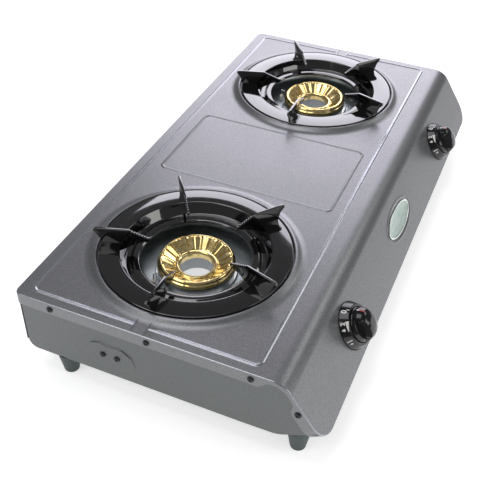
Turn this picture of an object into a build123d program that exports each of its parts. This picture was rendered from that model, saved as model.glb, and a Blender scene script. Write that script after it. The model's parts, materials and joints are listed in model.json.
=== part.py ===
"""Two-burner table-top gas cooker, in millimetres, with +Z up and the knobs on the -Y side.

Heights are worked out from the top sheet's upper face and depths from the line through both burners.
At the end every piece is moved so that the feet stand on z = 0, under the middle of the whole cooker.
"""

from build123d import *
from math import cos, radians, sin, tan
import os

# Housing
WIDTH = 700.0
BACK_Y = 151.0
EDGE_Y = -165.0
SLOPE = 56.0
SLOPE_LENGTH = 85.7
BEND_R = 28.0
FLANGE = 14.5
SHEET = 0.8
PLAN_R = 9.0
LOWER_CORNER_R = 26.0
BEND_RELIEF = 4.6
BODY_HEIGHT = 83.3
BODY_BACK_Y = BACK_Y - 6.0
BODY_CORNER_R = 12.0
LIP = 26.0
SEAM = 0.2

# Pressed beads of the top sheet
BEAD_WIDTH = 3.6
BEAD_HEIGHT = 0.5
EDGE_BEAD_INSET = 13.0
EDGE_BEAD_FRONT_Y = EDGE_Y + 31.5
CENTRE_PANEL_X = 71.5
CENTRE_PANEL_Y = 117.0
BEAD_CORNER_R = 9.0

# Burner places and the raised rim round each burner
BURNER_X = 206.0
RING_R = 111.8
RING_GAP = 0.8
RIM_WALL_R = RING_R + RING_GAP
RIM_TOP_R = RIM_WALL_R + 2.4
RIM_FOOT_R = RIM_TOP_R + 7.0
RIM_HEIGHT = 4.5
LEDGE_DEPTH = 2.3
LEDGE_WIDTH = 14.6
OPENING_R = RIM_WALL_R - LEDGE_WIDTH

# Pan support
RING_SHEET = 1.2
RING_TOP = RIM_HEIGHT + 0.5
RING_INNER_R = RING_R - 24.6
STEP_R = RING_INNER_R - 7.2
STEP_Z = -10.0
MOUTH_R = STEP_R - 15.0
MOUTH_Z = -8.0
ARM_COUNT = 5
ARM_SHEET = 3.0
ARM_TOP = 24.5
ARM_TIP_R = RING_R + 7.7
ARM_END_R = MOUTH_R - 13.0
SEAT_GAP = 0.3

# Burner
CAP_R = 45.8
CAP_TOP = -9.8
CAP_HOLE_R = 20.3
CAP_CONE_R = CAP_HOLE_R + 4.9
CAP_CONE_Z = CAP_TOP - 10.2
CAP_WALL = 2.8
CAP_SLOTS = 24
CAP_SLOT = 0.9
HEAD_TOP = CAP_TOP - 9.5
HEAD_RIM_R = CAP_R + 0.5
HEAD_R = CAP_R - 1.8
HEAD_WALL = 3.0
HEAD_BOTTOM = -46.0
HEAD_TUBE_R = CAP_HOLE_R + 2.2
TRAY_SHEET = 0.6
TRAY_FLANGE_R = RIM_WALL_R - 3.6
TRAY_WALL_TOP_R = OPENING_R - 4.0
TRAY_WALL_LOW_R = TRAY_WALL_TOP_R - 8.0
TRAY_Z = -30.0
TRAY_GAP = 3.5
MIXER_R = 11.0
MIXER_BORE_R = 8.0
BELL_R = 15.0
BELL_BACK_Y = -120.0
BELL_FRONT_Y = -136.0
SHUTTER_WALL = 1.1

# Running fits
RUNNING = 0.08
LOOSE = 0.4

# Knob, spindle and valve, measured along the knob's axis from the outer face of the front slope
KNOB_DOWN = 48.7
KNOB_R = 20.0
KNOB_BASE = 4.3
KNOB_HEIGHT = 27.0
GRIP_WIDTH = 12.0
DIAL_TOP_R = KNOB_R + 3.5
DIAL_R = DIAL_TOP_R + 4.5
DIAL_HEIGHT = 10.5
PEG_R = 2.0
PEG_OUT = DIAL_TOP_R + 1.0
PRESS_TRAVEL = 3.5
SPINDLE_R = 4.0
COLLAR_R = SPINDLE_R + 2.2
SPINDLE_HOLE_R = COLLAR_R + 0.8
COLLAR = 1.2
SPRING_R = SPINDLE_R + 1.0
SPRING_WIRE_R = 0.45
SPRING_TURNS = 3.5
VALVE_FRONT = 6.0
VALVE_LENGTH = 38.0
PLUG_R = SPINDLE_R + 3.0
VALVE_R = PLUG_R + 5.0
PLUG_LENGTH = 18.0
PLUG_SOCKET = 10.0
PLUG_END_GAP = 6.0
PIPE_R = 6.0
PIPE_WALL = 1.0
PIPE_BESIDE = VALVE_R + PIPE_R + 2.0
PIPE_ALONG = 26.0
PIPE_END_X = WIDTH / 2 - 54.0
PIPE_BEND_R = 25.0
JET_ALONG = 20.0
JET_R = 3.0
JET_BOSS_R = 7.0
JET_HEX_R = 5.5
JET_SEAT_Y = -148.0

# Badge
BADGE_DOWN = 45.5
BADGE_LONG = 42.0
BADGE_SHORT = 15.0
BADGE_THICK = 1.0
BADGE_POCKET = 0.4
BADGE_BORDER = 2.0

# Feet and screws
FOOT_BACK_X = WIDTH / 2 - 14.5
FOOT_FRONT_X = WIDTH / 2 - 21.0
FOOT_BACK_Y = 100.0
FOOT_FRONT_Y = EDGE_Y - 13.0
FOOT_HEIGHT = 29.2
FOOT_BOTTOM = -BODY_HEIGHT - FOOT_HEIGHT
FOOT_R = 13.5
FOOT_LOW_R = 8.7
FOOT_EDGE_R = 1.5
FOOT_SCREW_Z = -BODY_HEIGHT - 9.0
FOOT_SCREW_GRIP = 3.8
SCREW_R = 1.9
SCREW_HEAD_R = 3.4
SCREW_HEAD = 2.0
SCREW_GAP = 0.1
FLANGE_SCREW_LENGTH = 7.0
RAIL_SCREW_LENGTH = 6.0
BACK_SCREW_LENGTH = 6.0
CLAMP_SCREW_LENGTH = 12.0
FLANGE_SCREWS_Y = (105.0, -12.0, -129.0)
FLANGE_SCREW_DEPTH = 7.4
SLOPE_SCREW_DOWN = 39.3

# Burner rail
RAIL_Y = 35.0
RAIL_WIDTH = 26.0
RAIL_SHEET = 1.2
RAIL_TAB = 14.0
RAIL_SCREW_SPREAD = 8.7
RAIL_SCREW_Z = HEAD_BOTTOM - 4.3
PAD_LONG = 65.0
PAD_SHORT = 34.0
PAD_HEIGHT = 0.5

# Spark igniters
ELECTRODE_R = CAP_R + 8.2
ELECTRODE_ANGLE = {"left": 140.0, "right": 88.0}
INSULATOR_R = 3.2
PIN_R = 0.8
PIN_TOP = -14.0
SPARK_GAP = 3.0
PIN_BOTTOM = -58.0
LEAD_R = 1.2
LEAD_Z = -BODY_HEIGHT + 9.0
LEAD_BENDS = (20.0, 20.0, 20.0, 20.0, 10.0)
IGNITER_X = 22.0

# Gas inlet at the back
SPIGOT_R = 4.75
SPIGOT_LENGTH = 22.0
INLET_HEX_R = 10.0
INLET_HEX = 14.0
INLET_THREAD_R = 7.0
INLET_THREAD = 9.0

SIDES = {"left": -1, "right": 1}
INWARD = (0, sin(radians(SLOPE)), -cos(radians(SLOPE)))
BEND_DOWN = BEND_R * tan(radians(SLOPE / 2))
BEND_Y = EDGE_Y + BEND_DOWN
LEDGE_Z = RIM_HEIGHT - LEDGE_DEPTH
HALF_BODY = WIDTH / 2 - SHEET


def front_point(down, depth):
    """The (y, z) of a point so far down the front slope and so deep behind its outer face."""
    y = EDGE_Y - down * cos(radians(SLOPE)) + depth * sin(radians(SLOPE))
    z = -down * sin(radians(SLOPE)) - depth * cos(radians(SLOPE))
    return y, z


def slope_plane(x, down):
    """A plane on the front slope's outer face: its Y runs down the slope and its Z inwards."""
    y, z = front_point(down, 0)
    return Plane(origin=(x, y, z), x_dir=(1, 0, 0), z_dir=INWARD)


def back_plane(x, z):
    """A plane whose normal runs towards the back."""
    return Plane(origin=(x, 0, z), x_dir=(1, 0, 0), z_dir=(0, 1, 0))


def rod(plane, radius, start, end):
    """A round bar along a plane's normal."""
    return plane * Pos(0, 0, (start + end) / 2) * Cylinder(radius, end - start)


def taper(plane, start_radius, end_radius, start, end):
    """A round taper along a plane's normal."""
    return plane * Pos(0, 0, (start + end) / 2) * Cone(start_radius, end_radius, end - start)


def hexagon(plane, radius, start, end):
    """A hexagonal bar along a plane's normal."""
    return plane * Pos(0, 0, start) * extrude(RegularPolygon(radius, 6), end - start)


def turned(points, x=0):
    """A solid turned about a vertical axis from its (radius, height) outline."""
    return Pos(x, 0, 0) * revolve(Plane.XZ * make_face(Polyline(*points, close=True)), Axis.Z)


def block(x_range, y_range, z_range):
    """A box between two corners."""
    size = [high - low for low, high in (x_range, y_range, z_range)]
    middle = [(high + low) / 2 for low, high in (x_range, y_range, z_range)]
    return Pos(*middle) * Box(*size)


def screw(plane, shank):
    """A pan-head screw: its head stands out of the plane against the normal."""
    head = rod(plane, SCREW_HEAD_R, -SCREW_HEAD, 0)
    recess = plane * Pos(0, 0, -SCREW_HEAD) * (Box(3.6, 0.8, 1.6) + Box(0.8, 3.6, 1.6))
    return head + rod(plane, SCREW_R, 0, shank) - recess


def end_plane(side, y, z):
    """A plane on an end of the housing, with its normal pointing inwards."""
    return Plane(origin=(side * WIDTH / 2, y, z), x_dir=(0, 1, 0), z_dir=(-side, 0, 0))


def end_screw_places():
    """The (y, z) of the screws through the top sheet's end flange."""
    places = [(y, -FLANGE_SCREW_DEPTH) for y in FLANGE_SCREWS_Y]
    places.append(front_point(SLOPE_SCREW_DOWN, FLANGE_SCREW_DEPTH))
    return places


def rail_screw_places():
    """The (y, z) of the screws that hold the burner rail's end tabs."""
    return [(RAIL_Y + step * RAIL_SCREW_SPREAD, RAIL_SCREW_Z) for step in (-1, 1)]


def foot_places():
    """The (x, y) of the feet."""
    places = ((FOOT_BACK_X, FOOT_BACK_Y), (FOOT_FRONT_X, FOOT_FRONT_Y))
    return [(side * x, y) for side in (-1, 1) for x, y in places]


def front_corners():
    """The two (y, z) corners of an end panel's slanted edge below the front slope."""
    upper = front_point(SLOPE_LENGTH - LOWER_CORNER_R / 2 - 2.5, FLANGE - 2)
    return upper, (EDGE_Y + 5.0, -BODY_HEIGHT + 2.5)


def foot_screw_length():
    """The shank that reaches from a foot's counterbore through the end panel's slanted front edge."""
    (y1, z1), (y2, z2) = front_corners()
    edge_z = z1 + (z2 - z1) * (FOOT_FRONT_Y - y1) / (y2 - y1)
    return edge_z + FOOT_SCREW_GRIP - FOOT_SCREW_Z


def electrode_place(name):
    """The (x, y) of a burner's spark electrode."""
    angle = radians(ELECTRODE_ANGLE[name])
    return SIDES[name] * BURNER_X + ELECTRODE_R * cos(angle), ELECTRODE_R * sin(angle)


def skin_face(outer, inner, back, reach):
    """The strip of the folded sheet's end view between two depths below its outer face."""
    centre = (BEND_Y, -BEND_R)
    edges = []
    for depth in (outer, inner):
        edges.append(Line((back, -depth), (BEND_Y, -depth)))
        edges.append(CenterArc(centre, BEND_R - depth, 90, SLOPE))
        edges.append(Line(front_point(BEND_DOWN, depth), front_point(reach, depth)))
    edges.append(Line((back, -outer), (back, -inner)))
    edges.append(Line(front_point(reach, outer), front_point(reach, inner)))
    return Plane.YZ * make_face(edges)


def make_bead(x_low, x_high, y_low, y_high):
    """A raised bead pressed round a rectangle of the top sheet."""
    middle = Pos((x_low + x_high) / 2, (y_low + y_high) / 2, 0)
    outer = RectangleRounded(x_high - x_low + BEAD_WIDTH, y_high - y_low + BEAD_WIDTH, BEAD_CORNER_R)
    inner_r = BEAD_CORNER_R - BEAD_WIDTH
    inner = RectangleRounded(x_high - x_low - BEAD_WIDTH, y_high - y_low - BEAD_WIDTH, inner_r)
    bead = extrude(outer - inner, BEAD_HEIGHT + SHEET / 2)
    bead = chamfer(bead.edges().group_by(Axis.Z)[-1], BEAD_HEIGHT * 0.8)
    return middle * Pos(0, 0, -SHEET / 2) * bead


def make_top_panel():
    """The folded sheet: flat top, bend, front slope, and flanges at the ends, back and lower edge."""
    half = WIDTH / 2
    panel = extrude(skin_face(0, FLANGE, BACK_Y, SLOPE_LENGTH), half, both=True)
    panel = fillet(panel.edges().filter_by(Axis.Z).group_by(Axis.Y)[-1], PLAN_R)
    hollow_face = skin_face(SHEET, FLANGE + SHEET, BACK_Y - SHEET, SLOPE_LENGTH - SHEET)
    hollow = extrude(hollow_face, half - SHEET, both=True)
    hollow = fillet(hollow.edges().filter_by(Axis.Z).group_by(Axis.Y)[-1], PLAN_R - SHEET)
    panel -= hollow
    bend_axis = Plane(origin=(0, BEND_Y, -BEND_R), x_dir=(0, 1, 0), z_dir=(1, 0, 0))
    panel -= rod(bend_axis, BEND_R - BEND_RELIEF, -half - 1, half + 1)
    for side in (-1, 1):
        corner = slope_plane(side * (half - LOWER_CORNER_R), SLOPE_LENGTH - LOWER_CORNER_R)
        square = Rectangle(2 * LOWER_CORNER_R, 2 * LOWER_CORNER_R)
        square = Pos(side * LOWER_CORNER_R, LOWER_CORNER_R) * square
        waste = extrude(square - Circle(LOWER_CORNER_R), 2 * FLANGE)
        panel -= corner * Pos(0, 0, -1) * waste
        for y, z in end_screw_places():
            panel -= rod(end_plane(side, y, z), SCREW_R + SCREW_GAP, -1, 2 * SHEET)
        centre = Pos(side * BURNER_X, 0, 0)
        panel -= centre * Cylinder(RIM_FOOT_R, 4 * SHEET)
        knob = slope_plane(side * BURNER_X, KNOB_DOWN)
        panel -= rod(knob, SPINDLE_HOLE_R, -1, 2 * SHEET)
        for peg in (-1, 1):
            hole = rod(knob * Pos(peg * PEG_OUT, 0, 0), PEG_R + 0.15, -1, 2 * SHEET)
            panel -= hole
        panel += make_rim(side)
    badge = slope_plane(0, BADGE_DOWN)
    panel -= badge * extrude(Ellipse(BADGE_LONG + BADGE_BORDER, BADGE_SHORT + BADGE_BORDER), BADGE_POCKET)
    edge_x = half - EDGE_BEAD_INSET
    panel += make_bead(-edge_x, edge_x, EDGE_BEAD_FRONT_Y, BACK_Y - EDGE_BEAD_INSET - BEAD_WIDTH)
    panel += make_bead(-CENTRE_PANEL_X, CENTRE_PANEL_X, -CENTRE_PANEL_Y, CENTRE_PANEL_Y)
    return panel


def make_rim(side):
    """The raised rim round a burner opening, with the ledge that carries the tray and the pan support."""
    outline = [
        (RIM_FOOT_R, -SHEET),
        (RIM_FOOT_R, 0),
        (RIM_TOP_R, RIM_HEIGHT),
        (RIM_WALL_R, RIM_HEIGHT),
        (RIM_WALL_R, LEDGE_Z),
        (OPENING_R, LEDGE_Z),
        (OPENING_R, LEDGE_Z - SHEET),
        (RIM_WALL_R + SHEET, LEDGE_Z - SHEET),
        (RIM_WALL_R + SHEET, RIM_HEIGHT - SHEET),
        (RIM_TOP_R - SHEET / 2, RIM_HEIGHT - SHEET),
        (RIM_FOOT_R - 2 * SHEET, -SHEET),
    ]
    return turned(outline, side * BURNER_X)


def side_face():
    """The outline of an end panel, in the YZ plane."""
    depth = SHEET + SEAM
    lower = [
        front_point(SLOPE_LENGTH - LOWER_CORNER_R / 2, depth),
        *front_corners(),
        (EDGE_Y + 47.0, -BODY_HEIGHT),
        (BODY_BACK_Y - BODY_CORNER_R, -BODY_HEIGHT),
    ]
    corner = (BODY_BACK_Y - BODY_CORNER_R, -BODY_HEIGHT + BODY_CORNER_R)
    edges = [
        Line((BODY_BACK_Y, -depth), (BEND_Y, -depth)),
        CenterArc((BEND_Y, -BEND_R), BEND_R - depth, 90, SLOPE),
        Line(front_point(BEND_DOWN, depth), lower[0]),
        Polyline(*lower),
        CenterArc(corner, BODY_CORNER_R, 270, 90),
        Line((BODY_BACK_Y, corner[1]), (BODY_BACK_Y, -depth)),
    ]
    return make_face(edges)


def make_side_panel(side):
    """An end panel with an inward lip along its bottom and back."""
    face = side_face()
    edge = face - offset(face, -SHEET)
    low = Pos(0, -BODY_HEIGHT) * Rectangle(2 * (BODY_BACK_Y - EDGE_Y), 2 * BODY_CORNER_R)
    back = Pos(BODY_BACK_Y, -BODY_HEIGHT) * Rectangle(2 * BODY_CORNER_R, 2 * (BODY_HEIGHT - FLANGE))
    lip = extrude(Plane.YZ * (edge & (low + back)), LIP)
    panel = extrude(Plane.YZ * face, SHEET) + lip
    panel -= block((0, LIP + 1), (BACK_Y - PLAN_R, BACK_Y), (-FLANGE - SEAM, 0))
    panel = Pos(-HALF_BODY, 0, 0) * panel
    if side > 0:
        panel = mirror(panel, about=Plane.YZ)
    pad_plane = end_plane(side, RAIL_Y, RAIL_SCREW_Z).offset(SHEET)
    panel += pad_plane * Pos(0, 0, -PAD_HEIGHT) * extrude(SlotOverall(PAD_LONG, PAD_SHORT), PAD_HEIGHT)
    for y, z in end_screw_places() + rail_screw_places():
        panel -= rod(end_plane(side, y, z), SCREW_R + SCREW_GAP, 0, 3 * SHEET)
    for x, y in foot_places():
        panel -= Pos(x, y, -BODY_HEIGHT) * Cylinder(SCREW_R + SCREW_GAP, 2 * BODY_CORNER_R)
    for x, z in back_screw_places():
        panel -= rod(back_plane(x, z), SCREW_R + SCREW_GAP, BODY_BACK_Y - 3 * SHEET, BODY_BACK_Y + 1)
    return panel


def make_back_panel():
    """The back sheet, with a lip under the top sheet and a hole for the gas inlet."""
    half = HALF_BODY - SHEET
    top = -SHEET - SEAM
    low = -BODY_HEIGHT + BODY_CORNER_R
    inner_y = BODY_BACK_Y
    sheet = block((-half, half), (inner_y, inner_y + SHEET), (low, top))
    lip_x = WIDTH / 2 - PLAN_R
    sheet += block((-lip_x, lip_x), (inner_y, BACK_Y - SHEET - SEAM), (top - SHEET, top))
    for side in (-1, 1):
        x_range = sorted((side * lip_x, side * (half + 1)))
        sheet -= block(x_range, (inner_y - 1, BACK_Y), (-FLANGE - SEAM, 0))
    sheet -= rod(back_plane(PIPE_END_X, pipe_height()), INLET_THREAD_R + SEAM, inner_y - 1, BACK_Y)
    for x, z in back_screw_places():
        sheet -= rod(back_plane(x, z), SCREW_R + SCREW_GAP, inner_y - 1, BACK_Y)
    return sheet


def back_screw_places():
    """The (x, z) of the screws through the back panel into the end panels' lips."""
    x = HALF_BODY - LIP / 2
    return [(side * x, z) for side in (-1, 1) for z in (-FLANGE - 12.0, -BODY_HEIGHT + 25.0)]


def pipe_centre():
    """The (y, z) of the gas pipe behind the front slope."""
    return front_point(KNOB_DOWN - PIPE_BESIDE, PIPE_ALONG)


def pipe_height():
    """The height of the gas pipe's axis."""
    return pipe_centre()[1]


def make_gas_pipe():
    """The gas pipe: it feeds both valves and runs back along the right-hand end."""
    y, z = pipe_centre()
    start = (-BURNER_X - 22.0, y, z)
    corners = [start, (PIPE_END_X, y, z), (PIPE_END_X, BODY_BACK_Y - INLET_HEX, z)]
    path = FilletPolyline(*corners, radius=PIPE_BEND_R)
    section = Plane(origin=start, z_dir=(1, 0, 0)) * (Circle(PIPE_R) - Circle(PIPE_R - PIPE_WALL))
    pipe = sweep(section, path=path)
    end_stop = Plane(origin=start, z_dir=(1, 0, 0))
    pipe += rod(end_stop, PIPE_R, -2.0, 0)
    for side in (-1, 1):
        knob = slope_plane(side * BURNER_X, KNOB_DOWN)
        port = Plane(origin=(knob * Pos(0, -PIPE_BESIDE, PIPE_ALONG)).position, z_dir=knob.y_dir)
        pipe -= rod(port, 2.0, 2.0, PIPE_R + 2.0)
    return pipe


def make_gas_inlet():
    """The inlet fitting: a hexagon inside, a thread through the back, and a plain hose spigot."""
    plane = back_plane(PIPE_END_X, pipe_height())
    seat = BODY_BACK_Y
    spigot_start = seat + INLET_THREAD
    end = spigot_start + SPIGOT_LENGTH
    fitting = hexagon(plane, INLET_HEX_R, seat - INLET_HEX, seat)
    fitting += rod(plane, INLET_THREAD_R, seat, spigot_start)
    fitting += rod(plane, SPIGOT_R, spigot_start, end)
    return fitting - rod(plane, SPIGOT_R - 1.5, seat - INLET_HEX - 1, end + 1)


def make_inlet_nut():
    """The lock nut on the inlet's thread, outside the back panel."""
    plane = back_plane(PIPE_END_X, pipe_height())
    seat = BODY_BACK_Y + SHEET
    nut = hexagon(plane, INLET_HEX_R + 1.0, seat, seat + 5.0)
    return nut - rod(plane, INLET_THREAD_R + SCREW_GAP, seat - 1, seat + 6.0)


def make_pan_support(side):
    """The enamelled ring with its stepped well and five upright arms."""
    under = RING_TOP - RING_SHEET
    wall = RING_SHEET
    outline = [
        (RING_R, LEDGE_Z + SEAT_GAP),
        (RING_R, RING_TOP),
        (RING_INNER_R, RING_TOP),
        (STEP_R + 1.5, STEP_Z + wall),
        (STEP_R - 4.0, STEP_Z + wall),
        (STEP_R - 8.0, MOUTH_Z + wall),
        (MOUTH_R + 2.0, MOUTH_Z + 1.0),
        (MOUTH_R, MOUTH_Z),
        (MOUTH_R, MOUTH_Z - 2.0),
        (MOUTH_R + 1.2, MOUTH_Z - 2.0),
        (STEP_R - 8.0, MOUTH_Z),
        (STEP_R - 4.0, STEP_Z),
        (STEP_R + 2.6, STEP_Z),
        (RING_INNER_R + 1.0, under),
        (RING_R - wall, under),
        (RING_R - wall, LEDGE_Z + SEAT_GAP),
    ]
    support = turned(outline)
    arm = extrude(Plane.XZ * arm_face(), ARM_SHEET / 2, both=True)
    for index in range(ARM_COUNT):
        support += Rot(0, 0, 180 + index * 360 / ARM_COUNT) * arm
    return Pos(side * BURNER_X, 0, 0) * support


def arm_face():
    """The outline of one arm, seen from its side, as (radius, height)."""
    corner_r = RING_INNER_R - 9.0
    edges = [
        Line((RING_R - 0.6, RING_TOP - 0.4), (RING_R - 0.6, RING_TOP + 1.0)),
        ThreePointArc((RING_R - 0.6, RING_TOP + 1.0), (ARM_TIP_R - 6.0, 13.5), (ARM_TIP_R, 21.0)),
        Polyline((ARM_TIP_R, 21.0), (ARM_TIP_R, ARM_TOP - 1.0), (ARM_TIP_R - 2.5, ARM_TOP)),
        Line((ARM_TIP_R - 2.5, ARM_TOP), (corner_r, ARM_TOP)),
        Polyline((corner_r, ARM_TOP), (MOUTH_R + 3.0, 21.0), (MOUTH_R - 5.0, 18.0)),
        Line((MOUTH_R - 5.0, 18.0), (ARM_END_R + 1.0, 14.2)),
        ThreePointArc((ARM_END_R + 1.0, 14.2), (ARM_END_R, 12.0), (ARM_END_R + 1.0, 10.0)),
        ThreePointArc((ARM_END_R + 1.0, 10.0), (MOUTH_R, 8.0), (corner_r, 0.5)),
        Polyline((corner_r, 0.5), (STEP_R + 4.0, -4.0), (RING_INNER_R + 0.5, RING_TOP - 0.4)),
        Line((RING_INNER_R + 0.5, RING_TOP - 0.4), (RING_R - 0.6, RING_TOP - 0.4)),
    ]
    return make_face(edges)


def make_burner_cap(side):
    """The brass cap: a slotted funnel with a round rim and a lip about its middle hole."""
    slope = (CAP_TOP - CAP_CONE_Z) / (CAP_R - 5.2 - CAP_CONE_R)
    skirt_r = HEAD_R - HEAD_WALL - 0.5
    seat = HEAD_TOP + SEAT_GAP
    inside_r = skirt_r - 1.5
    outline = [
        (CAP_R - 2.0, seat),
        (CAP_R, seat + 2.5),
        (CAP_R, seat + 5.0),
        (CAP_R - 2.2, CAP_TOP - 1.0),
        (CAP_R - 4.0, CAP_TOP),
        (CAP_R - 5.2, CAP_TOP),
        (CAP_CONE_R, CAP_CONE_Z),
        (CAP_CONE_R - 0.8, CAP_CONE_Z + 1.1),
        (CAP_HOLE_R + 2.2, CAP_CONE_Z + 1.4),
        (CAP_HOLE_R + 0.6, CAP_CONE_Z + 0.5),
        (CAP_HOLE_R, CAP_CONE_Z - 1.5),
        (CAP_HOLE_R, CAP_CONE_Z - 8.0),
        (HEAD_TUBE_R - LOOSE, CAP_CONE_Z - 8.0),
        (HEAD_TUBE_R - LOOSE, CAP_CONE_Z - CAP_WALL),
        (CAP_CONE_R, CAP_CONE_Z - CAP_WALL),
        (inside_r, CAP_CONE_Z - CAP_WALL + slope * (inside_r - CAP_CONE_R)),
        (inside_r, HEAD_TOP - 5.0),
        (skirt_r, HEAD_TOP - 5.0),
        (skirt_r, seat),
    ]
    cap = turned(outline)
    start = CAP_CONE_R + 2.3
    end = inside_r - 0.5
    slot = Pos((start + end) / 2, 0, CAP_CONE_Z + 3.0) * Box(end - start, CAP_SLOT, 20.0)
    for index in range(CAP_SLOTS):
        cap -= Rot(0, 0, index * 360 / CAP_SLOTS) * slot
    return Pos(side * BURNER_X, 0, 0) * cap


def make_burner_body(name):
    """The cast head: a ring-shaped chamber, and the mixing tube that feeds it from the front."""
    tube_outer_r = HEAD_TUBE_R + 2.5
    floor = HEAD_BOTTOM + HEAD_WALL
    outline = [
        (HEAD_TUBE_R, HEAD_BOTTOM),
        (HEAD_R, HEAD_BOTTOM),
        (HEAD_R, HEAD_TOP - 3.2),
        (HEAD_RIM_R, HEAD_TOP - 2.4),
        (HEAD_RIM_R, HEAD_TOP),
        (HEAD_R - HEAD_WALL, HEAD_TOP),
        (HEAD_R - HEAD_WALL, floor),
        (tube_outer_r, floor),
        (tube_outer_r, HEAD_TOP - 6.0),
        (HEAD_TUBE_R, HEAD_TOP - 6.0),
    ]
    side = SIDES[name]
    mixer_z = jet_place()[1]
    middle_r = (tube_outer_r + HEAD_R - HEAD_WALL) / 2
    plane = back_plane(0, mixer_z)
    neck = Plane(origin=(0, -middle_r, mixer_z), z_dir=(0, 0, 1))
    rise = HEAD_BOTTOM - mixer_z
    body = turned(outline)
    body += rod(plane, MIXER_R, BELL_BACK_Y + 15.0, -middle_r + MIXER_R)
    body += taper(plane, BELL_R, MIXER_R, BELL_BACK_Y, BELL_BACK_Y + 15.0)
    body += rod(plane, BELL_R, BELL_FRONT_Y, BELL_BACK_Y)
    body += rod(neck, MIXER_BORE_R + 2.0, 0, rise + HEAD_WALL)
    body -= rod(plane, MIXER_BORE_R, BELL_BACK_Y + 1.0, -middle_r + MIXER_BORE_R)
    body -= taper(plane, BELL_R - 3.0, MIXER_BORE_R, BELL_BACK_Y - 4.0, BELL_BACK_Y + 15.0)
    body -= rod(plane, BELL_R - 3.0, BELL_FRONT_Y + 2.0, BELL_BACK_Y - 4.0)
    body -= rod(plane, JET_R + LOOSE, BELL_FRONT_Y - 1.0, BELL_FRONT_Y + 3.0)
    body -= rod(neck, MIXER_BORE_R - 1.0, 0, rise + HEAD_WALL + 1.0)
    body -= plane * Pos(0, 0, (BELL_FRONT_Y + BELL_BACK_Y) / 2) * Box(2 * BELL_R + 2, 12.0, 8.0)
    ear_x, ear_y = electrode_place(name)
    ear_x -= side * BURNER_X
    ear_z = HEAD_BOTTOM + 2 * HEAD_WALL
    ear_length = ELECTRODE_R - HEAD_R + HEAD_WALL / 2
    ear = Pos(HEAD_R - HEAD_WALL / 2 + ear_length / 2, 0, ear_z) * Box(ear_length, 9.0, HEAD_WALL)
    ear += Pos(ELECTRODE_R, 0, ear_z) * Cylinder(INSULATOR_R + 2.5, HEAD_WALL)
    body += Rot(0, 0, ELECTRODE_ANGLE[name]) * ear
    body -= Pos(ear_x, ear_y, ear_z) * Cylinder(INSULATOR_R + SCREW_GAP, 4 * HEAD_WALL)
    for x, y in burner_screw_places():
        body -= Pos(x, y, HEAD_BOTTOM) * Cylinder(SCREW_R + SCREW_GAP, 4.8)
    return Pos(side * BURNER_X, 0, 0) * body


def burner_screw_places():
    """The (x, y) of the screws from the rail into a burner's floor, about the burner's centre."""
    return [(step * 12.0, RAIL_Y - 4.0) for step in (-1, 1)]


def make_drip_tray(name):
    """The polished tray that hangs in the opening and surrounds the burner head."""
    sheet = TRAY_SHEET
    hole_r = HEAD_R + TRAY_GAP
    top = LEDGE_Z + sheet
    outline = [
        (TRAY_FLANGE_R, LEDGE_Z),
        (TRAY_FLANGE_R, top),
        (TRAY_WALL_TOP_R, top),
        (TRAY_WALL_LOW_R, TRAY_Z + 3.0),
        (TRAY_WALL_LOW_R - 3.0, TRAY_Z),
        (hole_r + sheet, TRAY_Z),
        (hole_r + sheet, TRAY_Z + 3.0),
        (hole_r, TRAY_Z + 3.0),
        (hole_r, TRAY_Z - sheet),
        (TRAY_WALL_LOW_R - 3.0 + sheet / 2, TRAY_Z - sheet),
        (TRAY_WALL_LOW_R + sheet, TRAY_Z + 2.7),
        (TRAY_WALL_TOP_R + sheet, LEDGE_Z),
    ]
    x, y = electrode_place(name)
    hole = Pos(x, y, TRAY_Z) * Cylinder(INSULATOR_R + 1.0, 4.0)
    return turned(outline, SIDES[name] * BURNER_X) - hole


def make_burner_rail():
    """The rail across the housing that carries both burners, with a tab at each end."""
    half = HALF_BODY - SHEET
    y_range = (RAIL_Y - RAIL_WIDTH / 2, RAIL_Y + RAIL_WIDTH / 2)
    rail = block((-half, half), y_range, (HEAD_BOTTOM - RAIL_SHEET, HEAD_BOTTOM))
    for side in (-1, 1):
        x_range = sorted((side * half, side * (half - RAIL_SHEET)))
        rail += block(x_range, y_range, (HEAD_BOTTOM - RAIL_TAB, HEAD_BOTTOM))
        for y, z in rail_screw_places():
            rail -= rod(end_plane(side, y, z), SCREW_R + SCREW_GAP, 0, 6.0)
        for x, y in burner_screw_places():
            hole = Cylinder(SCREW_R + SCREW_GAP, 4 * RAIL_SHEET)
            rail -= Pos(side * BURNER_X + x, y, HEAD_BOTTOM) * hole
    for name in SIDES:
        x, y = electrode_place(name)
        rail -= Pos(x, y, HEAD_BOTTOM) * Cylinder(INSULATOR_R + 1.0, 4 * RAIL_SHEET)
    return rail


def jet_place():
    """The (y, z) where the jet's axis meets the valve's axis."""
    return front_point(KNOB_DOWN, JET_ALONG)


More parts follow.
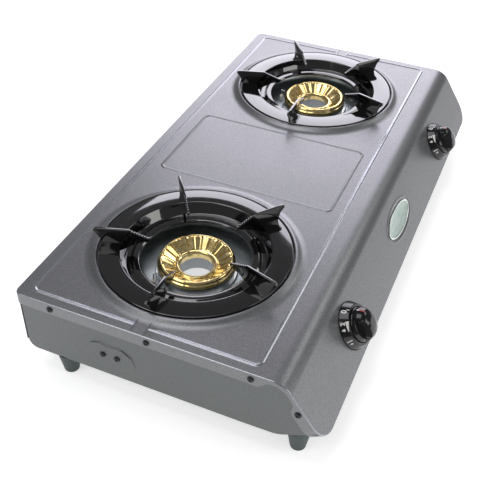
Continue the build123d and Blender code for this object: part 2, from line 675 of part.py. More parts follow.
def make_valve_body(side):
    """The valve's casting: a bored barrel, a saddle on the gas pipe and a boss for the jet."""
    x = side * BURNER_X
    knob = slope_plane(x, KNOB_DOWN)
    end = VALVE_FRONT + VALVE_LENGTH
    jet_y, jet_z = jet_place()
    jet_plane = back_plane(x, jet_z)
    body = rod(knob, VALVE_R, VALVE_FRONT, end)
    body += knob * Pos(0, -PIPE_BESIDE / 2, PIPE_ALONG) * Box(20.0, PIPE_BESIDE, 22.0)
    body += rod(jet_plane, JET_BOSS_R, jet_y, JET_SEAT_Y)
    igniter_x = side * (IGNITER_X - 9.0)
    body += Pos(x + igniter_x / 2, jet_y + 2.0, jet_z - 3.0) * Box(abs(igniter_x), 8.0, 8.0)
    body -= rod(knob, SPINDLE_R + RUNNING, VALVE_FRONT - 1, end)
    body -= rod(knob, PLUG_R + RUNNING, end - PLUG_END_GAP - PLUG_LENGTH - 0.5, end + 1)
    pipe_plane = Plane(origin=(x, *pipe_centre()), z_dir=(1, 0, 0))
    body -= rod(pipe_plane, PIPE_R + 0.05, -15, 15)
    body -= rod(jet_plane, JET_R + 0.05, jet_y + 4.0, BELL_FRONT_Y)
    port = Plane(origin=(knob * Pos(0, -PIPE_BESIDE, PIPE_ALONG)).position, z_dir=knob.y_dir)
    body -= rod(port, 2.0, 2.0, PIPE_BESIDE - 4.0)
    for step in (-1, 1):
        body -= rod(clamp_screw_plane(side, step), SCREW_R + SCREW_GAP, -1, 16.0)
    return body


def clamp_screw_plane(side, step):
    """The seat of a clamp screw's head, with its normal pointing towards the valve."""
    knob = slope_plane(side * BURNER_X, KNOB_DOWN)
    seat = (knob * Pos(0, -PIPE_BESIDE - PIPE_R - 2.0, PIPE_ALONG + step * 8.3)).position
    return Plane(origin=seat, x_dir=(1, 0, 0), z_dir=knob.y_dir)


def make_pipe_clamp(side):
    """The strap that holds the valve's saddle on the gas pipe."""
    x = side * BURNER_X
    knob = slope_plane(x, KNOB_DOWN)
    height = PIPE_R + 2.0 - SEAM
    strap = knob * Pos(0, -PIPE_BESIDE - SEAM - height / 2, PIPE_ALONG) * Box(12.0, height, 22.0)
    strap -= rod(Plane(origin=(x, *pipe_centre()), z_dir=(1, 0, 0)), PIPE_R + 0.05, -15, 15)
    for step in (-1, 1):
        strap -= rod(clamp_screw_plane(side, step), SCREW_R + SCREW_GAP, -3, 16.0)
    return strap


def make_valve_cap(side):
    """The plug that closes the valve's barrel behind the turning cone."""
    knob = slope_plane(side * BURNER_X, KNOB_DOWN)
    end = VALVE_FRONT + VALVE_LENGTH
    return rod(knob, PLUG_R, end - PLUG_END_GAP + 0.5, end) + hexagon(knob, VALVE_R - 3.0, end, end + 2.5)


def make_valve_plug(side):
    """The turning cone of the valve, with a blind socket for the spindle and a cross port for gas."""
    knob = slope_plane(side * BURNER_X, KNOB_DOWN)
    end = VALVE_FRONT + VALVE_LENGTH - PLUG_END_GAP
    start = end - PLUG_LENGTH
    plug = rod(knob, PLUG_R, start, end)
    plug -= rod(knob, SPINDLE_R + RUNNING, start - 1, start + PLUG_SOCKET)
    cross = Plane(origin=(knob * Pos(0, 0, start + 14.0)).position, z_dir=(1, 0, 0))
    return plug - rod(cross, 1.8, -PLUG_R - 1, PLUG_R + 1)


def make_spindle(side):
    """The spindle that joins the knob to the valve's cone, with a shoulder that bears on the collar."""
    knob = slope_plane(side * BURNER_X, KNOB_DOWN)
    socket_end = VALVE_FRONT + VALVE_LENGTH - PLUG_END_GAP - PLUG_LENGTH + PLUG_SOCKET
    spindle = rod(knob, SPINDLE_R, -KNOB_HEIGHT + 6.0, socket_end - PRESS_TRAVEL - 1.5)
    return spindle + rod(knob, SPINDLE_R + 1.2, -2 * COLLAR - 0.5, -COLLAR - 0.7)


def make_press_collar(side):
    """The washer between the spindle's shoulder and the return spring."""
    knob = slope_plane(side * BURNER_X, KNOB_DOWN)
    return rod(knob, COLLAR_R, -COLLAR - 0.6, -0.6) - rod(knob, SPINDLE_R + RUNNING, -COLLAR - 1, 0)


def make_return_spring(side):
    """The coil spring that pushes the knob back out."""
    knob = slope_plane(side * BURNER_X, KNOB_DOWN)
    height = VALVE_FRONT + 0.6 - 2 * SPRING_WIRE_R - 0.3
    path = Helix(height / SPRING_TURNS, height, SPRING_R)
    wire = sweep(Plane(path @ 0, z_dir=path % 0) * Circle(SPRING_WIRE_R), path=path)
    return knob * Pos(0, 0, -0.6 + SPRING_WIRE_R + 0.15) * wire


def make_jet(side):
    """The brass gas jet in the valve's boss: shank, hexagon and nose."""
    jet_y, jet_z = jet_place()
    plane = back_plane(side * BURNER_X, jet_z)
    seat = JET_SEAT_Y
    jet = rod(plane, JET_R, jet_y + 18.0, BELL_FRONT_Y + 4.0)
    jet += hexagon(plane, JET_HEX_R, seat, seat + 6.0)
    return jet - rod(plane, 0.8, jet_y + 17.0, BELL_FRONT_Y + 5.0)


def make_air_shutter(side):
    """The sleeve that turns on the mixing tube's bell and covers its air windows."""
    plane = back_plane(side * BURNER_X, jet_place()[1])
    inner_r = BELL_R + RUNNING
    sleeve = rod(plane, inner_r + SHUTTER_WALL, BELL_FRONT_Y + 1.5, BELL_BACK_Y - 0.5)
    sleeve -= rod(plane, inner_r, BELL_FRONT_Y, BELL_BACK_Y)
    window = Box(2 * BELL_R + 6, 12.0, 8.0)
    sleeve -= plane * Pos(0, 0, (BELL_FRONT_Y + BELL_BACK_Y) / 2) * window
    tab_y = (BELL_FRONT_Y + BELL_BACK_Y) / 2
    tab = plane * Pos(0, -inner_r - SHUTTER_WALL - 2.5, tab_y) * Box(SHUTTER_WALL, 6.0, 8.0)
    return sleeve + tab - rod(plane, inner_r, BELL_FRONT_Y, BELL_BACK_Y)


def make_knob(side):
    """The turning knob: a round base, a raised grip bar, and a socket for the spindle."""
    knob = slope_plane(side * BURNER_X, KNOB_DOWN)
    body = rod(knob, KNOB_R, -KNOB_HEIGHT, -KNOB_BASE)
    body = fillet(body.edges().group_by(lambda edge: knob.to_local_coords(edge.center()).Z)[0], 4.0)
    for step in (-1, 1):
        cut_x = step * (GRIP_WIDTH / 2 + KNOB_R / 2)
        body -= knob * Pos(cut_x, 0, -KNOB_HEIGHT) * Box(KNOB_R, 3 * KNOB_R, 2 * (KNOB_HEIGHT - 14.0))
    body -= rod(knob, KNOB_R - 2.5, -10.0, -KNOB_BASE + 1) - rod(knob, SPINDLE_R + 3.0, -11.0, 0)
    return body - rod(knob, SPINDLE_R + 0.05, -KNOB_HEIGHT + 5.5, 0)


def make_dial_ring(side):
    """The fixed cone-shaped ring round a knob, with two pegs through the front slope."""
    knob = slope_plane(side * BURNER_X, KNOB_DOWN)
    ring = taper(knob, DIAL_TOP_R, DIAL_R, -DIAL_HEIGHT, -1.0)
    ring += rod(knob, DIAL_R, -1.0, 0)
    ring -= rod(knob, KNOB_R + LOOSE, -DIAL_HEIGHT - 1, 1)
    for peg in (-1, 1):
        ring += rod(knob * Pos(peg * PEG_OUT, 0, 0), PEG_R, -0.5, SHEET + 2.0)
    return ring


def make_badge():
    """The plain oval badge in its pressed recess."""
    plate = extrude(Ellipse(BADGE_LONG, BADGE_SHORT), BADGE_THICK)
    return slope_plane(0, BADGE_DOWN) * Pos(0, 0, BADGE_POCKET - BADGE_THICK) * plate


def make_foot(x, y):
    """A tapered rubber foot, cut to the end panel's lower edge, with a counterbore for its screw."""
    upright = Plane(origin=(x, y, 0), z_dir=(0, 0, 1))
    foot = taper(upright, FOOT_LOW_R, FOOT_R, FOOT_BOTTOM, -BODY_HEIGHT)
    foot = fillet(foot.edges().group_by(Axis.Z)[0], FOOT_EDGE_R)
    foot += rod(upright, FOOT_R, -BODY_HEIGHT, -BODY_HEIGHT + BODY_CORNER_R)
    inside = extrude(Plane.YZ * side_face(), 2 * FOOT_R + 2, both=True)
    foot -= Pos(x, 0, 0) * inside
    foot -= rod(upright, SCREW_HEAD_R + 0.6, FOOT_BOTTOM - 1, FOOT_SCREW_Z)
    return foot - rod(upright, SCREW_R + SCREW_GAP, FOOT_SCREW_Z - 1, 0)


def make_insulator(name):
    """The ceramic sleeve of a spark electrode."""
    x, y = electrode_place(name)
    bore_r = PIN_R + 0.05
    outline = [(bore_r, -55.0), (INSULATOR_R, -55.0), (INSULATOR_R, -24.0), (bore_r, -21.0)]
    return Pos(x, y, 0) * turned(outline)


def make_electrode_pin(name):
    """The spark pin, bent at its top towards the cap's rim."""
    x, y = electrode_place(name)
    pin = rod(Plane.XY, PIN_R, PIN_BOTTOM, PIN_TOP)
    reach = ELECTRODE_R - CAP_R - SPARK_GAP
    tip = Plane(origin=(0, 0, PIN_TOP - PIN_R), z_dir=(-1, 0, 0))
    pin += rod(tip, PIN_R, 0, reach)
    return Pos(x, y, 0) * Rot(0, 0, ELECTRODE_ANGLE[name]) * pin


def igniter_place(side):
    """The (x, y, z) of a piezo igniter's back end."""
    jet_y, jet_z = jet_place()
    return side * (BURNER_X + IGNITER_X), jet_y + 28.0, jet_z - 3.0


def make_igniter(side):
    """The piezo igniter beside a valve: a box with a round lead socket."""
    x, y, z = igniter_place(side)
    box = block((x - 9.0, x + 9.0), (y - 34.0, y), (z - 8.0, z + 8.0))
    return box + rod(back_plane(x, z), 5.0, y, y + 6.0)


def lead_route(name):
    """A lead's corners: back past the burner head, in under the electrode and up to its pin."""
    side = SIDES[name]
    x, y, z = igniter_place(side)
    pin_x, pin_y = electrode_place(name)
    outside_x = side * (BURNER_X + HEAD_R + 18.0)
    return [
        (x, y + 6.0, z),
        (x, y + 20.0, z),
        (x, y + 50.0, LEAD_Z),
        (outside_x, y + 90.0, LEAD_Z),
        (outside_x, pin_y, LEAD_Z),
        (pin_x, pin_y, LEAD_Z),
        (pin_x, pin_y, PIN_BOTTOM - 0.2),
    ]


def make_lead(name):
    """The insulated lead from an igniter to its electrode."""
    route = lead_route(name)
    path = FilletPolyline(*route, radius=LEAD_BENDS)
    return sweep(Plane(path @ 0, z_dir=path % 0) * Circle(LEAD_R), path=path)


def make_foot_screws():
    """The screws up through the feet into the end panels' lips."""
    group = []
    for x, y in foot_places():
        group.append(screw(Plane(origin=(x, y, FOOT_SCREW_Z), z_dir=(0, 0, 1)), foot_screw_length()))
    return Compound(children=group)


def make_flange_screws():
    """The screws through the top sheet's end flanges into the end panels."""
    places = [(side, y, z) for side in (-1, 1) for y, z in end_screw_places()]
    group = [screw(end_plane(side, y, z), FLANGE_SCREW_LENGTH) for side, y, z in places]
    return Compound(children=group)


def make_rail_screws():
    """The screws through the end panels' pads into the burner rail's tabs."""
    group = []
    for side in (-1, 1):
        for y, z in rail_screw_places():
            seat = end_plane(side, y, z).offset(SHEET - PAD_HEIGHT)
            group.append(screw(seat, RAIL_SCREW_LENGTH))
    return Compound(children=group)


def make_burner_screws():
    """The screws up through the rail into the burners' floors."""
    group = []
    for side in (-1, 1):
        for x, y in burner_screw_places():
            seat = (side * BURNER_X + x, y, HEAD_BOTTOM - RAIL_SHEET)
            seat_plane = Plane(origin=seat, z_dir=(0, 0, 1))
            group.append(screw(seat_plane, RAIL_SHEET + 2.0))
    return Compound(children=group)


def make_clamp_screws():
    """The screws that hold the valves and their clamps on the gas pipe."""
    places = [(side, step) for side in (-1, 1) for step in (-1, 1)]
    group = [screw(clamp_screw_plane(side, step), CLAMP_SCREW_LENGTH) for side, step in places]
    return Compound(children=group)


def make_back_screws():
    """The screws through the back panel into the end panels' lips."""
    group = []
    for x, z in back_screw_places():
        seat = Plane(origin=(x, BODY_BACK_Y + SHEET, z), x_dir=(1, 0, 0), z_dir=(0, -1, 0))
        group.append(screw(seat, BACK_SCREW_LENGTH))
    return Compound(children=group)


def make_burner_side(name):
    """Every piece that belongs to one of the two burners."""
    side = SIDES[name]
    pieces = {
        "side_panel": make_side_panel(side),
        "pan_support": make_pan_support(side),
        "burner_cap": make_burner_cap(side),
        "burner_body": make_burner_body(name),
        "drip_tray": make_drip_tray(name),
        "valve_body": make_valve_body(side),
        "pipe_clamp": make_pipe_clamp(side),
        "valve_cap": make_valve_cap(side),
        "valve_plug": make_valve_plug(side),
        "spindle": make_spindle(side),
        "press_collar": make_press_collar(side),
        "return_spring": make_return_spring(side),
        "jet": make_jet(side),
        "air_shutter": make_air_shutter(side),
        "knob": make_knob(side),
        "dial_ring": make_dial_ring(side),
        "insulator": make_insulator(name),
        "electrode_pin": make_electrode_pin(name),
        "igniter": make_igniter(side),
        "igniter_lead": make_lead(name),
        "back_foot": make_foot(side * FOOT_BACK_X, FOOT_BACK_Y),
        "front_foot": make_foot(side * FOOT_FRONT_X, FOOT_FRONT_Y),
    }
    return {name + "_" + piece: shape for piece, shape in pieces.items()}


def make_nodes():
    """Every piece of the cooker, by name."""
    pieces = {
        "top_panel": make_top_panel(),
        "back_panel": make_back_panel(),
        "burner_rail": make_burner_rail(),
        "gas_pipe": make_gas_pipe(),
        "gas_inlet": make_gas_inlet(),
        "inlet_nut": make_inlet_nut(),
        "badge": make_badge(),
        "foot_screws": make_foot_screws(),
        "flange_screws": make_flange_screws(),
        "rail_screws": make_rail_screws(),
        "burner_screws": make_burner_screws(),
        "clamp_screws": make_clamp_screws(),
        "back_screws": make_back_screws(),
    }
    for name in SIDES:
        pieces.update(make_burner_side(name))
    return pieces


def stand_on_feet(pieces):
    """The move that puts the origin on the ground under the middle of the whole cooker."""
    boxes = [piece.bounding_box() for piece in pieces]
    low_x = min(box.min.X for box in boxes)
    high_x = max(box.max.X for box in boxes)
    low_y = min(box.min.Y for box in boxes)
    high_y = max(box.max.Y for box in boxes)
    low_z = min(box.min.Z for box in boxes)
    return Pos(-(low_x + high_x) / 2, -(low_y + high_y) / 2, -low_z)


nodes = make_nodes()
to_origin = stand_on_feet(nodes.values())
os.makedirs("parts", exist_ok=True)
for node, shape in nodes.items():
    export_step(to_origin * shape, "parts/" + node + ".step")
print(len(nodes), "pieces, moved by", to_origin.position)
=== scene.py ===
"""Looks of the two-burner table-top gas cooker: finishes, pressed sheets, castings, stage, lights and camera.

Shapes are modelled in millimetres: z = 0 is the top sheet's upper face, y = 0 the line through both burners
and x = 0 the middle, with the knobs on the -Y side. PLACE turns that into the frame's metres.
"""

import bmesh
import bpy
import json
from math import atan2, cos, exp, pi, radians, sin, tan
from mathutils import Matrix, Vector


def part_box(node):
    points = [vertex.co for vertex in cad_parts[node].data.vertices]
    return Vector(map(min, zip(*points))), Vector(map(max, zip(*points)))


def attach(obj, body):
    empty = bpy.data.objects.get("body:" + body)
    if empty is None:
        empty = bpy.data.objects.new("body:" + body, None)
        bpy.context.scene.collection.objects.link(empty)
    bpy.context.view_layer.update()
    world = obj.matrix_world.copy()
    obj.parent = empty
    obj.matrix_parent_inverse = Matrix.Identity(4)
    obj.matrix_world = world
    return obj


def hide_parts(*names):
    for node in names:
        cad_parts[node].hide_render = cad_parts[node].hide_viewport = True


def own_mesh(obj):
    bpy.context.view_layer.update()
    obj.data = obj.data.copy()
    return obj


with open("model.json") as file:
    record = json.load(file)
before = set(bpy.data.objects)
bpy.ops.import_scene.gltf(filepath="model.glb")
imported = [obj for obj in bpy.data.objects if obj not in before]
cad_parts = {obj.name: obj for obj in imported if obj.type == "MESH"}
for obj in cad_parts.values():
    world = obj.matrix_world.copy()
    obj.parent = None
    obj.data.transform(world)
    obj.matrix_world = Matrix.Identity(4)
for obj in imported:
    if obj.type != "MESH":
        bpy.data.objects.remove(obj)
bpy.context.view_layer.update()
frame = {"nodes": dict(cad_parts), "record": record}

# Sheet-metal housing
MM = 0.001
WIDTH = 700.0
BACK_Y = 151.0
EDGE_Y = -165.0
SLOPE = radians(56.0)
SLOPE_LENGTH = 85.7
BEND_R = 28.0
FLANGE = 14.5
FLANGE_AT_BEND = 5.2
FLANGE_SWELL = 1.5
FOLD_R = 1.5
SHEET = 0.8
SEAM = 0.2
PLAN_R = 9.0
LOWER_CORNER_R = 26.0
BODY_HEIGHT = 83.3
BODY_BACK_Y = 145.0
BODY_CORNER_R = 12.0
LIP = 26.0
NARROW_LIP = 3.0
SIDE_X = WIDTH / 2 - SHEET - 0.7
BEND_DOWN = BEND_R * tan(SLOPE / 2)
BEND_Y = EDGE_Y + BEND_DOWN
BEND_LENGTH = BEND_R * SLOPE
BLANK_FRONT_Y = BEND_Y - BEND_LENGTH - (SLOPE_LENGTH - BEND_DOWN)
BEND_CUTS = 28

# Pressed beads and rims
BEAD_WIDTH = 4.6
BEAD_X = 337.0
BEAD_BACK_Y = 134.6
BEAD_FRONT_Y = -133.5
BEAD_GAP = 7.0
BEAD_CORNER_R = 7.0
# One side of a bead, as steps of (inwards, height): a soft foot, a plain slope and the crown's edge.
BEAD_RISE = [(0.3, 0.05), (0.3, 0.17), (0.5, 0.42), (0.5, 0.67), (0.3, 0.8)]
BEAD_HEIGHT = BEAD_RISE[-1][1]
BEAD_CROWN = 0.8
CENTRE_PANEL_X = 71.5
CENTRE_PANEL_Y = 117.0
RIM_HEIGHT = 4.5
RIM_FOOT_R = 128.5
PAD_Y = 35.0
PAD_Z = -51.0

# Burners and pan supports
BURNER_X = 206.0
ARM_COUNT = 5
ARM_SHEET = 3.0
CAP_SECTORS = 24
COLUMNS = 8
CAP_STEPS = CAP_SECTORS * COLUMNS
CONE_INNER_R = 26.2
CONE_OUTER_R = 39.6
SECTOR_LEAN = 0.14
SLOT_DEPTH = 2.2
TRAY_Z = -30.0
TRAY_SHEET = 0.6

# Knobs and badge
KNOB_DOWN = 48.7
KNOB_HOLE_R = 7.0
KNOB_R = 20.0
KNOB_BASE = 4.3
KNOB_SHOULDER = 14.4
KNOB_HEIGHT = 27.0
KNOB_STEPS = 96
GRIP_WIDTH = 19.0
GRIP_R = KNOB_R - 0.7
GRIP_FOOT = 10.0
POINTER_TURN = 5.0
DIAL_R = 28.0
DIAL_EDGE = 1.2
DIAL_TOP_R = 23.5
DIAL_HEIGHT = 10.5
PRINT_LIFT = 0.1
BADGE_DOWN = 45.5
BADGE_LONG = 42.0
BADGE_SHORT = 14.5
RECESS_BORDER = 6.3

# Cross-head screws
HEAD_R = 3.7
HEAD_HEIGHT = 2.0
CROSS_HALF = 0.45
CROSS_REACH = 2.1
CROSS_DEPTH = 1.3

# Stage, in metres
FLOOR_HALF = 30.0
FLOOR_GLOW = 0.6

SIDES = {"left": -1, "right": 1}
ROUND = 144
# A turned profile stops this far from its axis, and welding closes it there.
AXIS = 0.01

tray_low, tray_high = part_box("left_drip_tray")
TOP_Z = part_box("top_panel")[1].z - RIM_HEIGHT * MM
BURNER_LINE_Y = (tray_low.y + tray_high.y) / 2
PLACE = Matrix.Translation((0, BURNER_LINE_Y, TOP_Z)) @ Matrix.Scale(MM, 4)


# ---------------------------------------------------------------- materials

def linear(code):
    """A hex sRGB colour as linear RGBA."""
    channels = [int(code[i:i + 2], 16) / 255 for i in (1, 3, 5)]
    return (*[c / 12.92 if c <= 0.04045 else ((c + 0.055) / 1.055) ** 2.4 for c in channels], 1.0)


def node(tree, kind, settings=None, **links):
    """Adds a shader node, sets its properties and sockets, and links its inputs."""
    added = tree.nodes.new("ShaderNode" + kind)
    for name, value in (settings or {}).items():
        if name in added.inputs:
            added.inputs[name].default_value = value
        else:
            setattr(added, name, value)
    for name, source in links.items():
        tree.links.new(source, added.inputs[name.replace("_", " ")])
    return added


def new_material(name, **settings):
    """A material with one Principled shader whose constants are set on its own sockets."""
    material = bpy.data.materials.new(name)
    material.use_nodes = True
    tree = material.node_tree
    shader = tree.nodes["Principled BSDF"]
    for key, value in settings.items():
        shader.inputs[key.replace("_", " ")].default_value = value
    position = node(tree, "TexCoord").outputs["Object"]
    return material, tree, shader, position


def noise(tree, position, grain_mm, detail=2.0, stretch=(1, 1, 1)):
    """Noise whose blotches are about as large as grain_mm."""
    mapping = node(tree, "Mapping", {"Scale": stretch}, Vector=position)
    settings = {"Scale": 1 / (grain_mm * MM), "Detail": detail}
    return node(tree, "TexNoise", settings, Vector=mapping.outputs["Vector"]).outputs["Fac"]


def remap(tree, value, low, high):
    """Turns a 0 to 1 value into one between low and high."""
    settings = {"To Min": low, "To Max": high}
    return node(tree, "MapRange", settings, Value=value).outputs["Result"]


def tint(tree, shader, value, dark, light, low=0.3, high=0.7):
    """Colours the shader between two hex colours as a value runs from low to high."""
    ramp = node(tree, "ValToRGB", None, Fac=value)
    ramp.color_ramp.elements[0].position = low
    ramp.color_ramp.elements[1].position = high
    ramp.color_ramp.elements[0].color = linear(dark)
    ramp.color_ramp.elements[1].color = linear(light)
    tree.links.new(ramp.outputs["Color"], shader.inputs["Base Color"])


def gloss(tree, shader, value, low, high):
    """Lets the shader's roughness run from low to high with a 0 to 1 value."""
    tree.links.new(remap(tree, value, low, high), shader.inputs["Roughness"])


def bumped(tree, shader, height, depth_mm, strength=1.0):
    """Gives the shader a bump of a real depth."""
    settings = {"Distance": depth_mm * MM, "Strength": strength}
    bump = node(tree, "Bump", settings, Height=height)
    tree.links.new(bump.outputs["Normal"], shader.inputs["Normal"])


def metallic_paint(name, dark, light, roughness=0.36):
    """Baked metallic paint on sheet steel: fine flake speckle and a satin, slightly uneven gloss."""
    material, tree, shader, position = new_material(
        name, Metallic=0.72, Coat_Weight=0.12, Coat_Roughness=0.22)
    tint(tree, shader, noise(tree, position, 1.1, 3.0), dark, light, 0.32, 0.68)
    gloss(tree, shader, noise(tree, position, 60.0), roughness - 0.03, roughness + 0.03)
    bumped(tree, shader, noise(tree, position, 1.4), 0.012, 0.6)
    return material


def enamel():
    """Black vitreous enamel fired on steel: a deep wet gloss that ripples very slightly."""
    material, tree, shader, position = new_material(
        "vitreous_enamel", IOR=1.6, Coat_Weight=1.0, Coat_Roughness=0.04, Coat_IOR=1.6)
    tint(tree, shader, noise(tree, position, 30.0), "#050507", "#0A0A0C")
    gloss(tree, shader, noise(tree, position, 14.0), 0.05, 0.11)
    bumped(tree, shader, noise(tree, position, 3.0), 0.02, 0.35)
    return material


def polished_brass():
    """Turned and buffed brass: a warm mirror with very faint ripples."""
    material, tree, shader, position = new_material("polished_brass", Metallic=1.0)
    tone = noise(tree, position, 5.0, 3.0)
    tint(tree, shader, tone, "#E6C676", "#FFEBB4")
    gloss(tree, shader, tone, 0.1, 0.2)
    bumped(tree, shader, noise(tree, position, 4.0), 0.01, 0.25)
    return material


def cast_aluminium():
    """Die-cast aluminium alloy: grey, slightly grainy skin."""
    material, tree, shader, position = new_material("die_cast_aluminium", Metallic=1.0)
    grain = noise(tree, position, 1.2, 4.0)
    tint(tree, shader, grain, "#8F9396", "#B9BDC0")
    gloss(tree, shader, grain, 0.38, 0.5)
    bumped(tree, shader, grain, 0.05, 0.5)
    return material


def polished_stainless():
    """Bright-annealed stainless sheet: cool and satin, with a very fine polishing haze."""
    material, tree, shader, position = new_material("polished_stainless", Metallic=1.0)
    haze = noise(tree, position, 18.0, 3.0)
    tint(tree, shader, haze, "#C4CCCF", "#DDE4E7")
    gloss(tree, shader, haze, 0.36, 0.46)
    bumped(tree, shader, noise(tree, position, 25.0), 0.04, 0.15)
    return material


def bare_metal(name, dark, light, low, high, grain_mm=2.0):
    """Plated, drawn or plainly turned metal: a fine mottle in both its tone and its gloss."""
    material, tree, shader, position = new_material(name, Metallic=1.0)
    mottle = noise(tree, position, grain_mm, 3.0)
    tint(tree, shader, mottle, dark, light)
    gloss(tree, shader, mottle, low, high)
    return material


def moulded(name, dark, light, low, high, grain_mm, depth_mm, ior=1.5):
    """A dull or glossy non-metal, such as plastic, rubber, print or ceramic, with its own grain and depth."""
    material, tree, shader, position = new_material(name, IOR=ior)
    grain = noise(tree, position, grain_mm, 3.0)
    tint(tree, shader, grain, dark, light)
    gloss(tree, shader, grain, low, high)
    bumped(tree, shader, grain, depth_mm, 0.5)
    return material


def badge_finish():
    """Satin anodised aluminium plate, brushed along its length."""
    material, tree, shader, position = new_material("brushed_anodised_plate", Metallic=0.55)
    streak = noise(tree, position, 1.0, 4.0, (0.05, 1, 1))
    tint(tree, shader, streak, "#A9BDB4", "#DCE8E2")
    gloss(tree, shader, streak, 0.35, 0.5)
    bumped(tree, shader, streak, 0.05, 0.5)
    return material


PAINT = metallic_paint("satin_metallic_paint", "#747578", "#939496")
# Painted shade: the end panels get a darker, rougher copy of the top's paint, so that they read darker than
# the top and its flange.
SHADED_END_PAINT = metallic_paint("satin_metallic_end_paint_painted_shade", "#656868", "#787B7B", 0.42)
# Painted highlight: a lighter, glossier copy of the top's paint, for the bright lines along the edge bead and
# the flange's fold.
BEAD_HIGHLIGHT_PAINT = metallic_paint("bead_paint_painted_highlight", "#9A9BA2", "#B2B3BA", 0.24)
ENAMEL = enamel()
BRASS = polished_brass()
# Painted shade: the cap's slots are coloured dark brown for the shade inside them.
SLOT_SHADE = moulded("brass_slot_painted_shade", "#1E1408", "#33240F", 0.5, 0.7, 0.8, 0.02)
STAINLESS = polished_stainless()
KNOB_PLASTIC = moulded("gloss_phenolic", "#090A0C", "#101215", 0.1, 0.16, 1.2, 0.004, 1.55)
WHITE_PRINT = moulded("white_pad_print", "#E6E6E2", "#F4F4F1", 0.4, 0.5, 0.6, 0.004)
RED_PRINT = moulded("red_pad_print", "#B5322B", "#C9443A", 0.4, 0.5, 0.6, 0.004)
BADGE = badge_finish()
BADGE_RIM = bare_metal("polished_aluminium_rim", "#DDE5E1", "#F2F6F4", 0.12, 0.2)
FINISHES = {
    "body_paint": PAINT,
    "end_paint": SHADED_END_PAINT,
    "enamel": ENAMEL,
    "cap_brass": BRASS,
    "fitting_brass": bare_metal("turned_brass", "#A8813F", "#C9A866", 0.28, 0.4, 3.0),
    "cast_aluminium": cast_aluminium(),
    "polished_steel": STAINLESS,
    "zinc_steel": bare_metal("zinc_plated_steel", "#9B9FA2", "#BFC3C5", 0.3, 0.42),
    "aluminium_tube": bare_metal("drawn_aluminium_tube", "#B4B6B8", "#CFD1D2", 0.25, 0.35),
    "black_screw": moulded("blackened_steel_screw", "#101413", "#22282A", 0.3, 0.45, 0.8, 0.02),
    "knob_plastic": KNOB_PLASTIC,
    "igniter_plastic": moulded("moulded_abs", "#131315", "#1C1C1F", 0.45, 0.6, 0.9, 0.02),
    "electrode_ceramic": moulded("glazed_alumina", "#EFECE2", "#FAF8F1", 0.12, 0.2, 4.0, 0.01, 1.7),
    "lead_rubber": moulded("silicone_rubber", "#B23A2C", "#C4483A", 0.45, 0.6, 1.0, 0.02, 1.43),
    "foot_rubber": moulded("moulded_grey_rubber", "#525E5E", "#647070", 0.5, 0.65, 0.8, 0.04),
    "badge_metal": BADGE,
    "spring_steel": bare_metal("drawn_spring_steel", "#8E9194", "#B4B7BA", 0.25, 0.35),
}


# ---------------------------------------------------------------- modelling helpers

def rounded(corners, segments=6):
    """The points of a closed outline whose corners are (x, y, radius)."""
    bm = bmesh.new()
    verts = [bm.verts.new((x, y, 0)) for x, y, _ in corners]
    bm.faces.new(verts)
    places = [vert.co.copy() for vert in verts]
    for index, (_, _, radius) in enumerate(corners):
        before = places[index - 1] - places[index]
        after = places[(index + 1) % len(places)] - places[index]
        opening = before.angle(after)
        if radius > 0 and opening < pi - 0.01:
            bmesh.ops.bevel(bm, geom=[verts[index]], affect="VERTICES", offset=radius / tan(opening / 2),
                            offset_type="OFFSET", segments=segments, profile=0.5, material=-1)
    bm.faces.ensure_lookup_table()
    points = [(vert.co.x, vert.co.y) for vert in bm.faces[0].verts]
    bm.free()
    return points


def ellipse(x, y, long, short, steps=96):
    """The points of an ellipse."""
    turns = [2 * pi * step / steps for step in range(steps)]
    return [(x + long * cos(turn), y + short * sin(turn)) for turn in turns]


def face_from(bm, outline, height=0.0):
    """One flat face from an outline in the XY plane."""
    return bm.faces.new([bm.verts.new((x, y, height)) for x, y in outline])


def step_in(bm, face, inwards, height):
    """Insets a face by a distance, or extrudes it when that is 0, and moves it to a height."""
    face.normal_update()
    if inwards > 0:
        bmesh.ops.inset_region(bm, faces=[face], thickness=inwards, use_even_offset=True, use_boundary=True)
    else:
        face = bmesh.ops.extrude_discrete_faces(bm, faces=[face])["faces"][0]
    for vert in face.verts:
        vert.co.z = height
    return face


def relief(bm, outline, steps, height=0.0):
    """A face that is pressed up or down in steps of (inwards, height). Returns the innermost face."""
    face = face_from(bm, outline, height)
    for inwards, level in steps:
        face = step_in(bm, face, inwards, level)
    return face


def fill_flat(bm, height=0.0):
    """Fills the flat sheet between every open outline at a height."""
    edges = [edge for edge in bm.edges if len(edge.link_faces) < 2
             and all(abs(vert.co.z - height) < 1e-4 for vert in edge.verts)]
    bmesh.ops.triangle_fill(bm, use_beauty=False, edges=edges, normal=(0, 0, 1))


def put_in_order(bm):
    """Sorts a bmesh's elements by where they lie, so that every run builds on them alike."""
    along = Vector((1e4, 1e2, 1))
    bm.verts.sort(key=lambda vert: vert.co.dot(along))
    bm.edges.sort(key=lambda edge: (edge.verts[0].co + edge.verts[1].co).dot(along))
    bm.faces.sort(key=lambda face: face.calc_center_median().dot(along))
    for elements in (bm.verts, bm.edges, bm.faces):
        elements.index_update()


def spun(bm, profile, steps=ROUND):
    """Turns a closed (radius, height) profile about the Z axis."""
    verts = [bm.verts.new((radius, 0, height)) for radius, height in profile]
    edges = [bm.edges.new(pair) for pair in zip(verts, verts[1:] + verts[:1])]
    bmesh.ops.spin(bm, geom=verts + edges, axis=(0, 0, 1), cent=(0, 0, 0), angle=2 * pi,
                   steps=steps, use_merge=True)
    put_in_order(bm)


def cut_plane(bm, place, normal, clear_outer=False):
    """Cuts every face along a plane. Returns the verts and edges on the cut."""
    geometry = bm.verts[:] + bm.edges[:] + bm.faces[:]
    return bmesh.ops.bisect_plane(bm, geom=geometry, dist=1e-4, plane_co=place, plane_no=normal,
                                  clear_outer=clear_outer)["geom_cut"]


